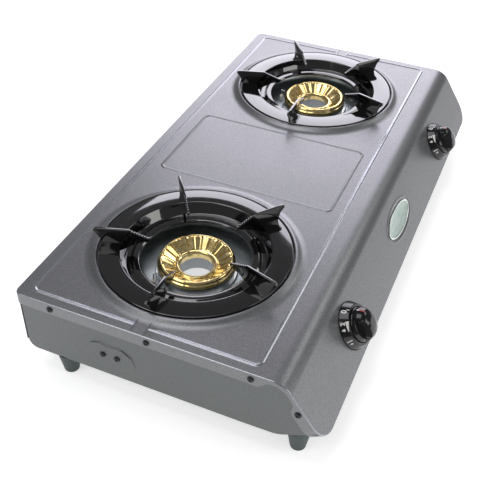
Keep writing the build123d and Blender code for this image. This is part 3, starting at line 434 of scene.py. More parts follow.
def sink(bm, faces, depth):
    """Lowers a patch of faces by a depth, with walls down to it. Returns the patch's verts."""
    grown = bmesh.ops.extrude_face_region(bm, geom=faces)["geom"]
    bmesh.ops.delete(bm, geom=[face for face in faces if face.is_valid], context="FACES")
    sunk = [item for item in grown if isinstance(item, bmesh.types.BMVert)]
    bmesh.ops.translate(bm, verts=sunk, vec=(0, 0, -depth))
    put_in_order(bm)
    return sunk


def join_into(bm, part):
    """Adds one bmesh to another and frees it."""
    mesh = bpy.data.meshes.new("part")
    part.to_mesh(mesh)
    part.free()
    bm.from_mesh(mesh)
    bpy.data.meshes.remove(mesh)


def slab(bm, outline, thickness):
    """A plate in the XZ plane, centred on y = 0, with rounded edges. Returns its verts."""
    verts = [bm.verts.new((x, -thickness / 2, z)) for x, z in outline]
    face = bm.faces.new(verts)
    grown = bmesh.ops.extrude_face_region(bm, geom=[face])["geom"]
    moved = [item for item in grown if isinstance(item, bmesh.types.BMVert)]
    bmesh.ops.translate(bm, verts=moved, vec=(0, thickness, 0))
    solid = verts + moved
    faces = dict.fromkeys(face for vert in solid for face in vert.link_faces)
    bmesh.ops.recalc_face_normals(bm, faces=list(faces))
    rims = dict.fromkeys(edge for vert in solid for edge in vert.link_edges
                         if abs(edge.verts[0].co.y - edge.verts[1].co.y) < 1e-6)
    bevelled = bmesh.ops.bevel(bm, geom=list(rims), offset=0.4, segments=2, affect="EDGES", profile=0.5,
                               material=-1)
    kept = [vert for vert in solid if vert.is_valid]
    grown_verts = [vert for face in bevelled["faces"] for vert in face.verts]
    return list(dict.fromkeys(kept + grown_verts))


def turn_outwards(bm, direction):
    """Makes an open sheet's faces look, on the whole, along a direction."""
    bmesh.ops.recalc_face_normals(bm, faces=bm.faces)
    total = sum((face.normal * face.calc_area() for face in bm.faces), Vector())
    if total.dot(Vector(direction)) < 0:
        bmesh.ops.reverse_faces(bm, faces=bm.faces)


def add_piece(name, bm, finishes, body, replaces=(), sharp=32.0, weld=0.01):
    """Turns a bmesh in millimetres into a piece at its place, riding on a body."""
    bmesh.ops.remove_doubles(bm, verts=bm.verts, dist=weld)
    bmesh.ops.triangulate(bm, faces=[face for face in bm.faces if len(face.verts) > 4])
    for face in bm.faces:
        face.smooth = True
    for edge in bm.edges:
        edge.smooth = len(edge.link_faces) == 2 and edge.calc_face_angle(0) < radians(sharp)
    bm.transform(PLACE)
    mesh = bpy.data.meshes.new(name)
    bm.to_mesh(mesh)
    bm.free()
    for finish in finishes:
        mesh.materials.append(finish)
    piece = bpy.data.objects.new(name, mesh)
    bpy.context.scene.collection.objects.link(piece)
    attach(piece, body)
    if replaces:
        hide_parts(*replaces)
    return piece


def thicken(piece, thickness_mm):
    """Gives an open sheet its wall, inwards, and keeps its flat areas flat in the light."""
    wall = piece.modifiers.new("wall", "SOLIDIFY")
    wall.thickness = thickness_mm * MM
    wall.offset = -1
    normals = piece.modifiers.new("flat_normals", "WEIGHTED_NORMAL")
    normals.keep_sharp = True
    normals.weight = 80


def front_point(down, depth):
    """The (y, z) of a point so far down the front slope and so deep behind its outer face."""
    y = EDGE_Y - down * cos(SLOPE) + depth * sin(SLOPE)
    z = -down * sin(SLOPE) - depth * cos(SLOPE)
    return y, z


def slope_frame(x, down):
    """A frame on the front slope: its X runs right, its Y up the slope and its Z out of it."""
    y, z = front_point(down, 0)
    columns = (Vector((1, 0, 0)), Vector((0, cos(SLOPE), sin(SLOPE))), Vector((0, -sin(SLOPE), cos(SLOPE))))
    turned = Matrix(columns).transposed().to_4x4()
    return Matrix.Translation((x, y, z)) @ turned


# ---------------------------------------------------------------- pressed sheets

def flange_depth(y):
    """How far the end flange hangs down: it swells before the bend and stays narrow until the front slope."""
    along = BEND_Y - y
    swell = FLANGE_SWELL * exp(-((along + 15.0) / 7.0) ** 2)
    squeeze = (FLANGE - FLANGE_AT_BEND) / (1 + ((along - 17.5) / 25.5) ** 12)
    return FLANGE + swell - squeeze


def fold(co):
    """Bends the flat blank round the front bend."""
    along = BEND_Y - co.y
    if along <= 0:
        return co
    angle = min(along / BEND_R, SLOPE)
    beyond = along - angle * BEND_R
    radius = BEND_R + co.z
    y = BEND_Y - radius * sin(angle) - beyond * cos(angle)
    z = -BEND_R + radius * cos(angle) - beyond * sin(angle)
    return Vector((co.x, y, z))


def blank_y(down):
    """Where a point down the front slope lies on the flat blank."""
    return BEND_Y - BEND_LENGTH - (down - BEND_DOWN)


def rim_steps():
    """The pressed rim round a burner opening, as steps inwards from its soft foot."""
    profile = [
        (RIM_FOOT_R, 0.0), (127.6, 0.06), (126.0, 0.22), (124.3, 0.5), (122.6, 0.95), (121.0, 1.6),
        (119.5, 2.4), (118.2, 3.3), (117.2, 3.85), (116.3, 4.25), (115.4, 4.45), (114.7, RIM_HEIGHT),
        (114.3, 4.3), (114.1, 3.9), (114.0, 3.2), (113.9, 1.2), (113.7, -1.0), (113.2, -1.6), (112.4, -1.6),
        (111.0, 2.2), (98.4, 2.2), (98.0, 1.9),
    ]
    return [(a[0] - b[0], b[1]) for a, b in zip(profile, profile[1:])]


def bead_fall():
    """The far side of a closed bead, as steps inwards: over its crown and down as it rose."""
    widths = [width for width, _ in reversed(BEAD_RISE)]
    levels = [level for _, level in reversed(BEAD_RISE[:-1])] + [0.0]
    return [(BEAD_CROWN, BEAD_HEIGHT)] + list(zip(widths, levels))


def open_bead(direction, far_y):
    """The outline of the edge bead's back or front half: a wide U with rounded ends."""
    half = BEAD_WIDTH / 2
    outer = BEAD_CORNER_R + half
    inner = BEAD_CORNER_R - half
    end = half * 0.97
    right = [
        (BEAD_X - half, direction * BEAD_GAP, end),
        (BEAD_X + half, direction * BEAD_GAP, end),
        (BEAD_X + half, far_y + direction * half, outer),
    ]
    left = [(-x, y, radius) for x, y, radius in reversed(right)]
    inside_left = [(-BEAD_X + half, far_y - direction * half, inner)]
    inside_right = [(BEAD_X - half, far_y - direction * half, inner)]
    return rounded(right + left + inside_left + inside_right)


def press_edge(bm):
    """The blank's outer edge: the hanging flange and the fold above it, with a painted highlight (a lighter,
    glossier copy of the paint) on the fold's upper part.
    """
    half = WIDTH / 2
    blank = rounded([
        (-half, BLANK_FRONT_Y, LOWER_CORNER_R), (half, BLANK_FRONT_Y, LOWER_CORNER_R),
        (half, BACK_Y, PLAN_R), (-half, BACK_Y, PLAN_R)], 12)
    parts = 5
    steps = [(0, -FOLD_R)]
    for index in range(1, parts + 1):
        before = pi / 2 * (index - 1) / parts
        after = pi / 2 * index / parts
        steps.append((FOLD_R * (cos(before) - cos(after)), -FOLD_R * (1 - sin(after))))
    bm.faces.remove(relief(bm, blank, steps, -FLANGE))
    for face in bm.faces:
        # Painted highlight: the fold's upper faces take the lighter copy of the paint.
        face.material_index = 1 if face.calc_center_median().z > -0.6 * FOLD_R else 0


def press_openings(bm):
    """The raised rim round each burner opening, and the hole behind each knob."""
    for side in SIDES.values():
        foot = ellipse(side * BURNER_X, 0, RIM_FOOT_R, RIM_FOOT_R, ROUND)
        bm.faces.remove(relief(bm, foot, rim_steps()))
        knob_hole = ellipse(side * BURNER_X, blank_y(KNOB_DOWN), KNOB_HOLE_R, KNOB_HOLE_R, 24)
        bm.faces.remove(face_from(bm, knob_hole))


def press_edge_bead(bm):
    """The bead along the top's edge, in two halves."""
    plain = set(bm.faces)
    for direction, far_y in ((1, BEAD_BACK_Y), (-1, BEAD_FRONT_Y)):
        bm.faces.remove(relief(bm, open_bead(direction, far_y), BEAD_RISE))
    fill_flat(bm, BEAD_HEIGHT)
    # Painted highlight: the edge bead's faces take the lighter copy of the paint.
    for face in set(bm.faces) - plain:
        face.material_index = 1


def press_centre_bead(bm):
    """The closed bead round the plain panel between the burners."""
    x, y = CENTRE_PANEL_X + BEAD_WIDTH / 2, CENTRE_PANEL_Y + BEAD_WIDTH / 2
    corner_r = BEAD_CORNER_R + BEAD_WIDTH / 2
    panel = rounded([(-x, -y, corner_r), (x, -y, corner_r), (x, y, corner_r), (-x, y, corner_r)])
    relief(bm, panel, BEAD_RISE + bead_fall())


def press_recess(bm):
    """The shallow oval recess for the badge, inside a soft raised border."""
    steps = [(1.0, 0.3), (0.8, 0.4), (0.8, 0.25), (1.0, -0.2), (1.0, -0.4), (0.6, -0.5), (0.1, -1.3)]
    long, short = BADGE_LONG + RECESS_BORDER, BADGE_SHORT + RECESS_BORDER
    relief(bm, ellipse(0, blank_y(BADGE_DOWN), long, short), steps)


def make_top_panel():
    """The folded top sheet: pressed as a flat blank, then cut into narrow rows and bent round the front."""
    bm = bmesh.new()
    press_edge(bm)
    press_openings(bm)
    press_edge_bead(bm)
    press_centre_bead(bm)
    press_recess(bm)
    fill_flat(bm)
    for row in range(2 - BEND_CUTS, 2 * BEND_CUTS + 1):
        cut_plane(bm, (0, BEND_Y - BEND_LENGTH * row / BEND_CUTS, 0), (0, 1, 0))
    for vert in bm.verts:
        if vert.co.z < -FOLD_R - 1 and vert.co.y > BLANK_FRONT_Y + 1:
            vert.co.z = -flange_depth(vert.co.y)
        vert.co = fold(vert.co)
    turn_outwards(bm, (0, 0, 1))
    piece = add_piece("pressed_top_panel", bm, [PAINT, BEAD_HIGHLIGHT_PAINT], "housing",
                      ["top_panel"], 40.0)
    thicken(piece, SHEET)


def side_outline():
    """The outline of an end panel as (y, z), from the top of its front bend round to its back edge."""
    depth = SHEET + SEAM
    reach = SLOPE_LENGTH - LOWER_CORNER_R / 2
    radius = BEND_R - depth
    steps = 12
    bend = []
    for index in range(steps + 1):
        angle = SLOPE * index / steps
        bend.append((BEND_Y - radius * sin(angle), -BEND_R + radius * cos(angle), 0))
    lower = [
        (*front_point(reach, depth), 2.0),
        (*front_point(reach - 2.5, FLANGE - 2), 8.0),
        (EDGE_Y + 5.0, -BODY_HEIGHT + 0.8, 30.0),
        (EDGE_Y + 47.0, -BODY_HEIGHT, 60.0),
        (BODY_BACK_Y, -BODY_HEIGHT, BODY_CORNER_R),
        (BODY_BACK_Y, -depth, 2.0),
    ]
    return rounded(bend + lower)


def pad_outline():
    """The raised pad on an end panel where the burner rail is screwed, with a small notch in its top edge."""
    corners = [
        (31.5, 3.0, 8.0), (23.0, 14.8, 8.0), (13.0, 18.0, 6.0), (1.0, 16.0, 3.0), (-14.0, 17.2, 8.0),
        (-25.5, 9.5, 8.0), (-31.5, -3.0, 8.0), (-27.0, -12.0, 7.0), (-12.0, -17.5, 10.0), (22.0, -16.5, 8.0),
        (30.5, -8.5, 6.0),
    ]
    return rounded([(PAD_Y + y, PAD_Z + z, radius) for y, z, radius in corners])


def make_side_panel(name):
    """An end panel with its pressed pad. Its lip is wide along the bottom and back, and narrow elsewhere."""
    side = SIDES[name]
    bm = bmesh.new()
    edge_steps = [(0, -2.0), (0.25, -1.1), (0.45, -0.5), (0.6, -0.12), (0.7, 0.0)]
    bm.faces.remove(relief(bm, side_outline(), edge_steps, -LIP))
    relief(bm, pad_outline(), [(0.25, 0.12), (0.35, 0.65), (0.4, 1.1), (0.5, 1.25)])
    fill_flat(bm)
    for vert in bm.verts:
        y, z, outwards = vert.co
        above_bottom = z > -BODY_HEIGHT + BODY_CORNER_R + 1
        if outwards < -LIP + 1 and above_bottom and y < BODY_BACK_Y - 3:
            outwards = -NARROW_LIP
        vert.co = (side * (SIDE_X + outwards), y, z)
    turn_outwards(bm, (side, 0, 0))
    # Painted shade: the end panel takes the darker copy of the top's paint.
    piece = add_piece(name + "_pressed_end", bm, [SHADED_END_PAINT], "housing",
                      [name + "_side_panel"], 40.0)
    thicken(piece, SHEET)


# ---------------------------------------------------------------- burners

def arm_outline():
    """The side view of one pan-support arm as (radius, height), with its toothed inner slope."""
    tip = 119.5
    points = rounded([
        (111.0, 4.6, 0), (111.2, 7.0, 3.0), (114.0, 14.5, 9.0), (tip, 20.6, 2.2), (tip - 1.2, 24.0, 1.6),
        (112.0, 24.5, 4.0), (78.5, 24.5, 0),
    ])
    for tooth in range(7):
        radius = 75.5 - 2.9 * tooth
        height = 23.6 - 1.25 * tooth
        points += [(radius, height), (radius - 0.5, height - 1.1), (radius - 1.6, height - 1.3)]
    points += rounded([
        (54.6, 14.8, 1.0), (51.8, 12.4, 1.6), (54.0, 9.8, 1.4), (66.0, 7.2, 8.0), (78.0, 0.5, 4.0),
        (84.0, -4.0, 1.0), (87.7, 4.6, 0),
    ], 4)
    return points


def make_pan_support(name):
    """The enamelled ring, its stepped well and its five arms."""
    bm = bmesh.new()
    profile = rounded([
        (111.8, 2.55, 0.3), (111.8, 5.0, 0.9), (87.6, 5.0, 1.6), (81.8, -8.8, 1.6), (76.5, -8.8, 1.0),
        (72.6, -6.6, 1.4), (67.0, -6.9, 1.0), (65.0, -8.2, 0.5), (65.0, -10.0, 0.3), (66.2, -10.0, 0.3),
        (67.6, -8.1, 0.6), (72.0, -7.8, 0.8), (75.8, -10.0, 0.8), (82.6, -10.0, 1.8), (88.5, 3.8, 0.8),
        (110.6, 3.8, 0.3), (110.6, 2.55, 0.3),
    ], 5)
    spun(bm, profile)
    bmesh.ops.recalc_face_normals(bm, faces=bm.faces)
    for index in range(ARM_COUNT):
        verts = slab(bm, arm_outline(), ARM_SHEET)
        turn = Matrix.Rotation(pi + 2 * pi * index / ARM_COUNT, 4, "Z")
        bmesh.ops.transform(bm, matrix=turn, verts=verts)
    bmesh.ops.translate(bm, verts=bm.verts, vec=(SIDES[name] * BURNER_X, 0, 0))
    add_piece(name + "_enamelled_pan_support", bm, [ENAMEL], name + "_pan_support",
              [name + "_pan_support"], 28.0, 0.002)


def cap_profile():
    """The cap's section as (radius, height): its rolled rim, its cone and the lip inside."""
    rim = rounded([
        (43.8, -19.0, 0.3), (45.8, -18.2, 1.6), (45.8, -14.6, 1.6), (43.9, -13.2, 0.6), (43.6, -11.2, 1.2),
        (42.2, -9.8, 1.0), (40.7, -9.8, 0.5),
    ], 5)
    cone = [(CONE_OUTER_R, -10.55), (38.4, -11.35), (27.6, -18.45), (CONE_INNER_R, -19.35)]
    lip = rounded([
        (25.2, -20.0, 0.3), (24.5, -18.7, 0.8), (22.2, -18.5, 1.0), (20.6, -19.6, 0.8), (20.3, -22.0, 0.5),
        (20.3, -28.0, 0.3), (22.1, -28.0, 0.3), (22.1, -22.8, 0.5), (25.2, -22.8, 0.5), (39.0, -14.0, 0.5),
        (39.0, -24.3, 0.3), (40.5, -24.3, 0.3), (40.5, -19.0, 0.3),
    ], 4)
    return rim + cone + lip


def way_round(co):
    """How far round the Z axis a point lies, from 0 to 1."""
    return (atan2(co.y, co.x) % (2 * pi)) / (2 * pi)


def slot_faces(bm):
    """The faces on the cone's upper side that lie in the first column of each sector."""
    faces = []
    for face in bm.faces:
        centre = face.calc_center_median()
        across = CONE_INNER_R + 0.3 < centre.xy.length < CONE_OUTER_R - 0.6
        if across and centre.z > -19.3 and face.normal.z > 0:
            if int(way_round(centre) * CAP_STEPS) % COLUMNS == 0:
                faces.append(face)
    return faces


def flatten_sectors(bm):
    """Makes the cone flat between two slots, each sector leaning the other way from the one before."""
    for vert in bm.verts:
        radius = vert.co.xy.length
        across = CONE_INNER_R - 0.2 < radius < CONE_OUTER_R + 0.3
        column = round(way_round(vert.co) * CAP_STEPS) % COLUMNS
        if not across or not -19.6 < vert.co.z < -10.2 or column in (0, 1):
            continue
        offset = (column - (COLUMNS + 1) / 2) * 2 * pi / CAP_STEPS
        flat = cos(pi / CAP_SECTORS * (COLUMNS - 1) / COLUMNS) / cos(offset)
        lean = 1 if int(way_round(vert.co) * CAP_SECTORS) % 2 else -1
        vert.co.x *= flat
        vert.co.y *= flat
        vert.co.z += lean * offset * radius * SECTOR_LEAN


def make_burner_cap(name):
    """The brass cap: flat sectors with a slot between each two, a rolled rim and a lip."""
    bm = bmesh.new()
    spun(bm, cap_profile(), CAP_STEPS)
    bmesh.ops.remove_doubles(bm, verts=bm.verts, dist=0.002)
    bmesh.ops.recalc_face_normals(bm, faces=bm.faces)
    bm.normal_update()
    slots = slot_faces(bm)
    flatten_sectors(bm)
    sunk = sink(bm, slots, SLOT_DEPTH)
    # Painted shade: the sunk slot faces take the dark brown finish.
    for face in {face for vert in sunk for face in vert.link_faces}:
        face.material_index = 1
    bmesh.ops.translate(bm, verts=bm.verts, vec=(SIDES[name] * BURNER_X, 0, 0))
    add_piece(name + "_brass_cap", bm, [BRASS, SLOT_SHADE], name + "_burner_cap",
              [name + "_burner_cap"], 20.0, 0.002)


def make_drip_tray(name):
    """The polished dish round the burner, drawn from thin stainless sheet."""
    bm = bmesh.new()
    below = TRAY_Z - TRAY_SHEET
    collar = TRAY_Z + 3.0
    profile = rounded([
        (109.0, 2.2, 0.1), (109.0, 2.8, 0.1), (94.6, 2.8, 2.0), (86.0, TRAY_Z, 9.0), (48.1, TRAY_Z, 1.2),
        (48.1, collar, 0.1), (47.5, collar, 0.1), (47.5, below, 1.6), (86.5, below, 9.6), (94.2, 2.2, 1.6),
    ], 8)
    spun(bm, profile)
    bmesh.ops.recalc_face_normals(bm, faces=bm.faces)
    bmesh.ops.translate(bm, verts=bm.verts, vec=(SIDES[name] * BURNER_X, 0, 0))
    add_piece(name + "_drawn_tray", bm, [STAINLESS], "housing", [name + "_drip_tray"], 32.0,
              0.002)


# ---------------------------------------------------------------- knobs, dials and badge

def grip_crown():
    """Half the grip's profile as (radius, height), from its foot over the rounded end to the middle."""
    return rounded([
        (GRIP_R, GRIP_FOOT, 0), (GRIP_R, 17.0, 6.0), (15.0, 24.6, 9.0), (6.0, KNOB_HEIGHT, 12.0),
        (AXIS, KNOB_HEIGHT, 0), (AXIS, GRIP_FOOT, 0),
    ])


def make_grip():
    """The grip bar that crosses the knob, cut from a round crown by a flat on each side."""
    grip = bmesh.new()
    spun(grip, grip_crown(), KNOB_STEPS)
    bmesh.ops.remove_doubles(grip, verts=grip.verts, dist=2 * AXIS)
    for side in SIDES.values():
        cut = cut_plane(grip, (side * GRIP_WIDTH / 2, 0, 0), (side, 0, 0), clear_outer=True)
        rim = [item for item in cut if isinstance(item, bmesh.types.BMEdge)]
        bmesh.ops.contextual_create(grip, geom=rim)
        bmesh.ops.bevel(grip, geom=rim, affect="EDGES", offset=0.4, segments=2, profile=0.5, material=-1,
                        clamp_overlap=True)
    bmesh.ops.recalc_face_normals(grip, faces=grip.faces)
    return grip


def make_pointer(name):
    """The printed line up the grip's end, white near the skirt and red towards the crown."""
    bm = bmesh.new()
    line = [(radius + 0.12, height) for radius, height in grip_crown() if 11 < height < 24 and radius > 1]
    verts = [bm.verts.new((radius, 0, height)) for radius, height in line]
    edges = [bm.edges.new(pair) for pair in zip(verts, verts[1:])]
    bmesh.ops.spin(bm, geom=verts + edges, axis=(0, 0, 1), cent=(0, 0, 0), angle=radians(POINTER_TURN),
                   steps=4)
    towards_y = Matrix.Rotation(radians(90 - POINTER_TURN), 3, "Z")
    bmesh.ops.rotate(bm, verts=bm.verts, cent=(0, 0, 0), matrix=towards_y)
    for face in bm.faces:
        face.material_index = 1 if face.calc_center_median().z > 19.5 else 0
    bm.transform(slope_frame(SIDES[name] * BURNER_X, KNOB_DOWN))
    turn_outwards(bm, (0, 0, 1))
    add_piece(name + "_knob_pointer", bm, [WHITE_PRINT, RED_PRINT], name + "_knob")


def make_knob(name):
    """The turning knob: a skirt with a rolled edge and a wide grip with a flat crown."""
    bm = bmesh.new()
    skirt = rounded([
        (KNOB_R, KNOB_BASE, 0.3), (KNOB_R, 11.5, 1.8), (17.2, KNOB_SHOULDER, 1.4), (AXIS, KNOB_SHOULDER, 0),
        (AXIS, KNOB_BASE, 0),
    ])
    spun(bm, skirt, KNOB_STEPS)
    bmesh.ops.recalc_face_normals(bm, faces=bm.faces)
    join_into(bm, make_grip())
    bm.transform(slope_frame(SIDES[name] * BURNER_X, KNOB_DOWN))
    add_piece(name + "_grip_knob", bm, [KNOB_PLASTIC], name + "_knob", [name + "_knob"], 30.0)


def on_dial(bm, slant, angle):
    """Wraps flat marks onto the dial's cone, their X running round it and their Y down its side."""
    foot = Vector((DIAL_R, DIAL_EDGE))
    rise = (Vector((DIAL_TOP_R, DIAL_HEIGHT)) - foot).normalized()
    for vert in bm.verts:
        along = slant - vert.co.y
        radius = foot.x + rise.x * along
        turn = angle + vert.co.x / radius
        radius += PRINT_LIFT * rise.y
        height = foot.y + rise.y * along - PRINT_LIFT * rise.x
        vert.co = (radius * sin(turn), radius * cos(turn), height)


def numeral(text, size):
    """A plain numeral as a flat mesh in millimetres."""
    curve = bpy.data.curves.new("numeral", "FONT")
    curve.body = text
    curve.size = size
    curve.offset = 0.3
    curve.align_x = "CENTER"
    curve.align_y = "CENTER"
    holder = bpy.data.objects.new("numeral", curve)
    mesh = bpy.data.meshes.new_from_object(holder)
    bm = bmesh.new()
    bm.from_mesh(mesh)
    bpy.data.objects.remove(holder)
    bpy.data.meshes.remove(mesh)
    return bm


def make_marks(name):
    """The dial's white print: plain numerals, a tick, a tapering sweep and two flame's drops."""
    sweep = rounded([(-5.2, -0.6, 0.3), (6.0, -2.0, 0.4), (6.0, 2.0, 0.4), (-5.2, 0.6, 0.3)])
    drop = rounded([(0.0, 3.2, 0.3), (2.1, -0.8, 1.1), (0.0, -2.6, 0.8), (-2.1, -0.8, 1.1)])
    tick = rounded([(-0.5, -1.6, 0.2), (0.5, -1.6, 0.2), (0.5, 1.6, 0.2), (-0.5, 1.6, 0.2)])
    layout = [
        ("0", -15.0, 4.4, 8.5), (tick, -8.0, 8.0, 1.0), (sweep, -55.0, 8.3, 1.0), ("2", -47.0, 3.4, 6.8),
        (drop, -62.0, 3.4, 0.9), ("1", -93.0, 5.0, 9.0), (drop, -103.0, 5.0, 0.8),
    ]
    marks = bmesh.new()
    for shape, degrees, slant, size in layout:
        if isinstance(shape, str):
            mark = numeral(shape, size)
        else:
            mark = bmesh.new()
            face_from(mark, [(x * size, y * size) for x, y in shape])
        bmesh.ops.triangulate(mark, faces=mark.faces)
        bmesh.ops.subdivide_edges(mark, edges=mark.edges, cuts=3)
        on_dial(mark, slant, radians(degrees))
        join_into(marks, mark)
    marks.transform(slope_frame(SIDES[name] * BURNER_X, KNOB_DOWN))
    turn_outwards(marks, (0, -1, 1))
    add_piece(name + "_dial_marks", marks, [WHITE_PRINT], "housing")


def make_dial_ring(name):
    """The fixed dial: a cone-shaped ring with a rolled foot and a soft upper edge."""
    bm = bmesh.new()
    bore = KNOB_R + 0.5
    profile = rounded([
        (DIAL_R, 0.0, 0.2), (DIAL_R, DIAL_EDGE, 0.4), (DIAL_TOP_R, DIAL_HEIGHT, 1.0),
        (bore, DIAL_HEIGHT, 0.6), (bore, 0.0, 0.2),
    ], 5)
    spun(bm, profile, KNOB_STEPS)
    bmesh.ops.recalc_face_normals(bm, faces=bm.faces)
    bm.transform(slope_frame(SIDES[name] * BURNER_X, KNOB_DOWN))
    add_piece(name + "_cone_dial", bm, [KNOB_PLASTIC], "housing", [name + "_dial_ring"])


def make_badge():
    """The bare oval badge with a bright raised border, seated in its recess."""
    bm = bmesh.new()
    outline = ellipse(0, 0, BADGE_LONG, BADGE_SHORT)
    rim = [(0, 0.5), (0.25, 0.75), (0.35, 0.85), (0.7, 0.85), (0.4, 0.6)]
    inner = relief(bm, outline, rim, -1.2)
    step_in(bm, inner, 0.4, 0.5)
    for face in bm.faces:
        face.material_index = 0 if face is inner else 1
    bm.transform(slope_frame(0, BADGE_DOWN))
    turn_outwards(bm, (0, -1, 1))
    add_piece("oval_badge", bm, [BADGE, BADGE_RIM], "housing", ["badge"])


# ---------------------------------------------------------------- everything else

def node_skin(name):
    """A CAD node's own mesh, in design millimetres."""
    bm = bmesh.new()
    bm.from_mesh(frame["nodes"][name].data)
    bm.transform(PLACE.inverted())
    return bm


def islands(node_name):
    """The boxes, in design millimetres, of the separate solids of a CAD node."""
    bm = node_skin(node_name)
    bmesh.ops.remove_doubles(bm, verts=bm.verts, dist=0.001)
    met = set()
    boxes = []
    for first in bm.verts:
        if first in met:
            continue
        met.add(first)
        ready = [first]
        members = []
        while ready:
            vert = ready.pop()
            members.append(vert.co)
            for edge in vert.link_edges:
                other = edge.other_vert(vert)
                if other not in met:
                    met.add(other)
                    ready.append(other)
        low = Vector([min(co[axis] for co in members) for axis in range(3)])
        high = Vector([max(co[axis] for co in members) for axis in range(3)])
        boxes.append((low, high))
    bm.free()
    return boxes


def cross_head(bm, place):
    """A pan screw head with a cross recess, its seat at the place's origin and its crown along its Z."""
    head = bmesh.new()
    profile = rounded([
        (AXIS, -1.0, 0), (HEAD_R, -1.0, 0), (HEAD_R, 1.0, 0.5), (2.6, 1.9, 1.5), (AXIS, HEAD_HEIGHT, 0)])
    spun(head, profile, 32)
    bmesh.ops.remove_doubles(head, verts=head.verts, dist=3 * AXIS)
    bmesh.ops.recalc_face_normals(head, faces=head.faces)
    for across in (Vector((1, 0, 0)), Vector((0, 1, 0))):
        for side in SIDES.values():
            for reach in (CROSS_HALF, CROSS_REACH):
                cut_plane(head, across * side * reach, across)
    recess = []
    for face in head.faces:
        x, y, z = face.calc_center_median()
        in_cross = min(abs(x), abs(y)) < CROSS_HALF and max(abs(x), abs(y)) < CROSS_REACH
        if in_cross and z > 1.0 and face.normal.z > 0.5:
            recess.append(face)
    sink(head, recess, CROSS_DEPTH)
    head.transform(place)
    join_into(bm, head)


def make_end_screws(node_name):
    """The heads of the black cross-head screws in the housing's two ends, each turned by its own amount."""
    bm = bmesh.new()
    for low, high in islands(node_name):
        side = 1 if high.x > 0 else -1
        outer = high.x if side > 0 else low.x
        middle = (low + high) / 2
        aim = Matrix.Rotation(side * pi / 2, 4, "Y") @ Matrix.Rotation(middle.y, 4, "Z")
        cross_head(bm, Matrix.Translation((outer - side * HEAD_HEIGHT, middle.y, middle.z)) @ aim)
    add_piece(node_name + "_heads", bm, [FINISHES["black_screw"]], "housing",
              [node_name], 30.0)


def make_foot(node_name):
    """A tapered rubber foot: the node's own shape, smooth-shaded."""
    add_piece(node_name + "_tapered", node_skin(node_name), [FINISHES["foot_rubber"]], "housing",
              [node_name], 28.0)


def compress(piece):
    """Gives a return spring's piece its own copy of its mesh."""
    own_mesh(piece)


def carry_over(replaced):
    """Gives every other node its finish and a smooth-shaded skin."""
    slots = {row["node"]: row["material_slot"] for row in frame["record"]["subparts"]}
    body_of = {}
    for body, members in frame["record"]["behaviour"]["bodies"].items():
        for member in members:
            body_of[member] = body
    for name, source in frame["nodes"].items():
        finish = FINISHES[slots[name]]
        source.data.materials.clear()
        source.data.materials.append(finish)
        if name in replaced:
            continue
        piece = add_piece(name + "_finished", node_skin(name), [finish], body_of[name],
                          [name], 28.0)
        if name.endswith("_return_spring"):
            compress(piece)


def build():
    """Every piece of the cooker."""
    make_top_panel()
    make_badge()
    make_end_screws("flange_screws")
    make_end_screws("rail_screws")
    replaced = {"top_panel", "badge", "flange_screws", "rail_screws"}
    for name in SIDES:
        for foot in ("back_foot", "front_foot"):
            make_foot(name + "_" + foot)
            replaced.add(name + "_" + foot)
    for name in SIDES:
        make_side_panel(name)
        make_pan_support(name)
        make_burner_cap(name)
        make_drip_tray(name)
        make_knob(name)
        make_dial_ring(name)
        make_marks(name)
        make_pointer(name)
        for piece in ("side_panel", "pan_support", "burner_cap", "drip_tray", "knob", "dial_ring"):
            replaced.add(name + "_" + piece)
    carry_over(replaced)


# ---------------------------------------------------------------- stage, light and camera

def floor_finish():
    """Matt white board that also reads as white where the camera or a mirror sees it."""
    material, tree, shader, position = new_material("matt_white_board", Roughness=0.9)
    tint(tree, shader, noise(tree, position, 8.0), "#EFEFEF", "#F2F2F2")
    path = node(tree, "LightPath")
    seen = path.outputs["Is Camera Ray"]
    for ray in ("Is Glossy Ray", "Is Transmission Ray"):
        either = node(tree, "Math", {"operation": "ADD", "use_clamp": True})
        tree.links.new(seen, either.inputs[0])
        tree.links.new(path.outputs[ray], either.inputs[1])
        seen = either.outputs[0]
    shader.inputs["Emission Color"].default_value = (1, 1, 1, 1)
    tree.links.new(remap(tree, seen, 0.0, FLOOR_GLOW), shader.inputs["Emission Strength"])
    return material


def make_floor():
    """A plain pale floor under the feet, wide enough to reach the horizon of a low view."""
    bm = bmesh.new()
    bmesh.ops.create_grid(bm, x_segments=1, y_segments=1, size=FLOOR_HALF)
    mesh = bpy.data.meshes.new("floor")
    bm.to_mesh(mesh)
    bm.free()
    mesh.materials.append(floor_finish())
    floor = bpy.data.objects.new("floor", mesh)
    bpy.context.scene.collection.objects.link(floor)


def make_world(strength):
    """Dim, even room light."""
    world = bpy.data.worlds.new("studio")
    world.use_nodes = True
    background = world.node_tree.nodes["Background"]
    background.inputs["Color"].default_value = linear("#F4F5F8")
    background.inputs["Strength"].default_value = strength
    bpy.context.scene.world = world


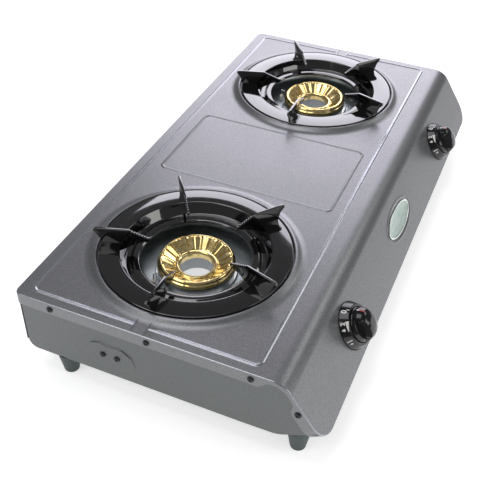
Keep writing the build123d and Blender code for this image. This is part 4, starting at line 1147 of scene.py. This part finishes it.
def add_softbox(name, place, aim, width, height, radiance, colour):
    """A rectangular area lamp that looks from one place at another, with a given radiance."""
    lamp = bpy.data.lights.new(name, "AREA")
    lamp.shape = "RECTANGLE"
    lamp.size = width
    lamp.size_y = height
    lamp.energy = radiance * pi * width * height
    lamp.color = linear(colour)[:3]
    holder = bpy.data.objects.new(name, lamp)
    holder.location = place
    holder.rotation_euler = (Vector(place) - Vector(aim)).to_track_quat("Z", "Y").to_euler()
    bpy.context.scene.collection.objects.link(holder)


def make_lights():
    """Dim room light and five softboxes: past the far end, high and low in front, overhead and back left."""
    make_world(0.2)
    add_softbox("far_softbox", (2.76, 0.62, 1.22), (0.1, 0, 0.1), 2.2, 2.04, 3.4, "#F3F0FB")
    add_softbox("high_front_strip", (1.72, -1.34, 1.9), (0, -0.15, 0.05), 1.0, 0.6, 3.0, "#F4F7F1")
    add_softbox("overhead_softbox", (-0.15, 0.5, 2.2), (-0.15, 0, 0), 1.3, 1.3, 2.6, "#F6F5FA")
    add_softbox("low_front_softbox", (-0.1, -1.15, 0.5), (-0.35, -0.2, 0.05), 0.7, 0.5, 2.6, "#FBFBF6")
    add_softbox("back_left_softbox", (-1.6, 0.8, 1.75), (-0.35, 0, 0.1), 1.2, 1.2, 2.4, "#F8FAF4")


def make_camera():
    """The camera, from beyond the left end and in front of the knobs."""
    target = Vector((-0.1664, BURNER_LINE_Y - 0.0377, TOP_Z))
    heading, elevation, distance, roll = radians(22.67), radians(40.0), 0.9475, radians(1.29)
    forward = Vector((cos(elevation) * cos(heading), cos(elevation) * sin(heading), -sin(elevation)))
    lens = bpy.data.cameras.new("camera")
    lens.sensor_width = 36.0
    lens.lens = 60.46
    lens.clip_start = 0.01
    camera = bpy.data.objects.new("camera", lens)
    turned = forward.to_track_quat("-Z", "Y").to_matrix().to_4x4() @ Matrix.Rotation(roll, 4, "Z")
    camera.matrix_world = Matrix.Translation(target - forward * distance) @ turned
    bpy.context.scene.collection.objects.link(camera)
    bpy.context.scene.camera = camera


make_camera()
build()
make_floor()
make_lights()
bpy.context.scene.view_settings.view_transform = "Standard"
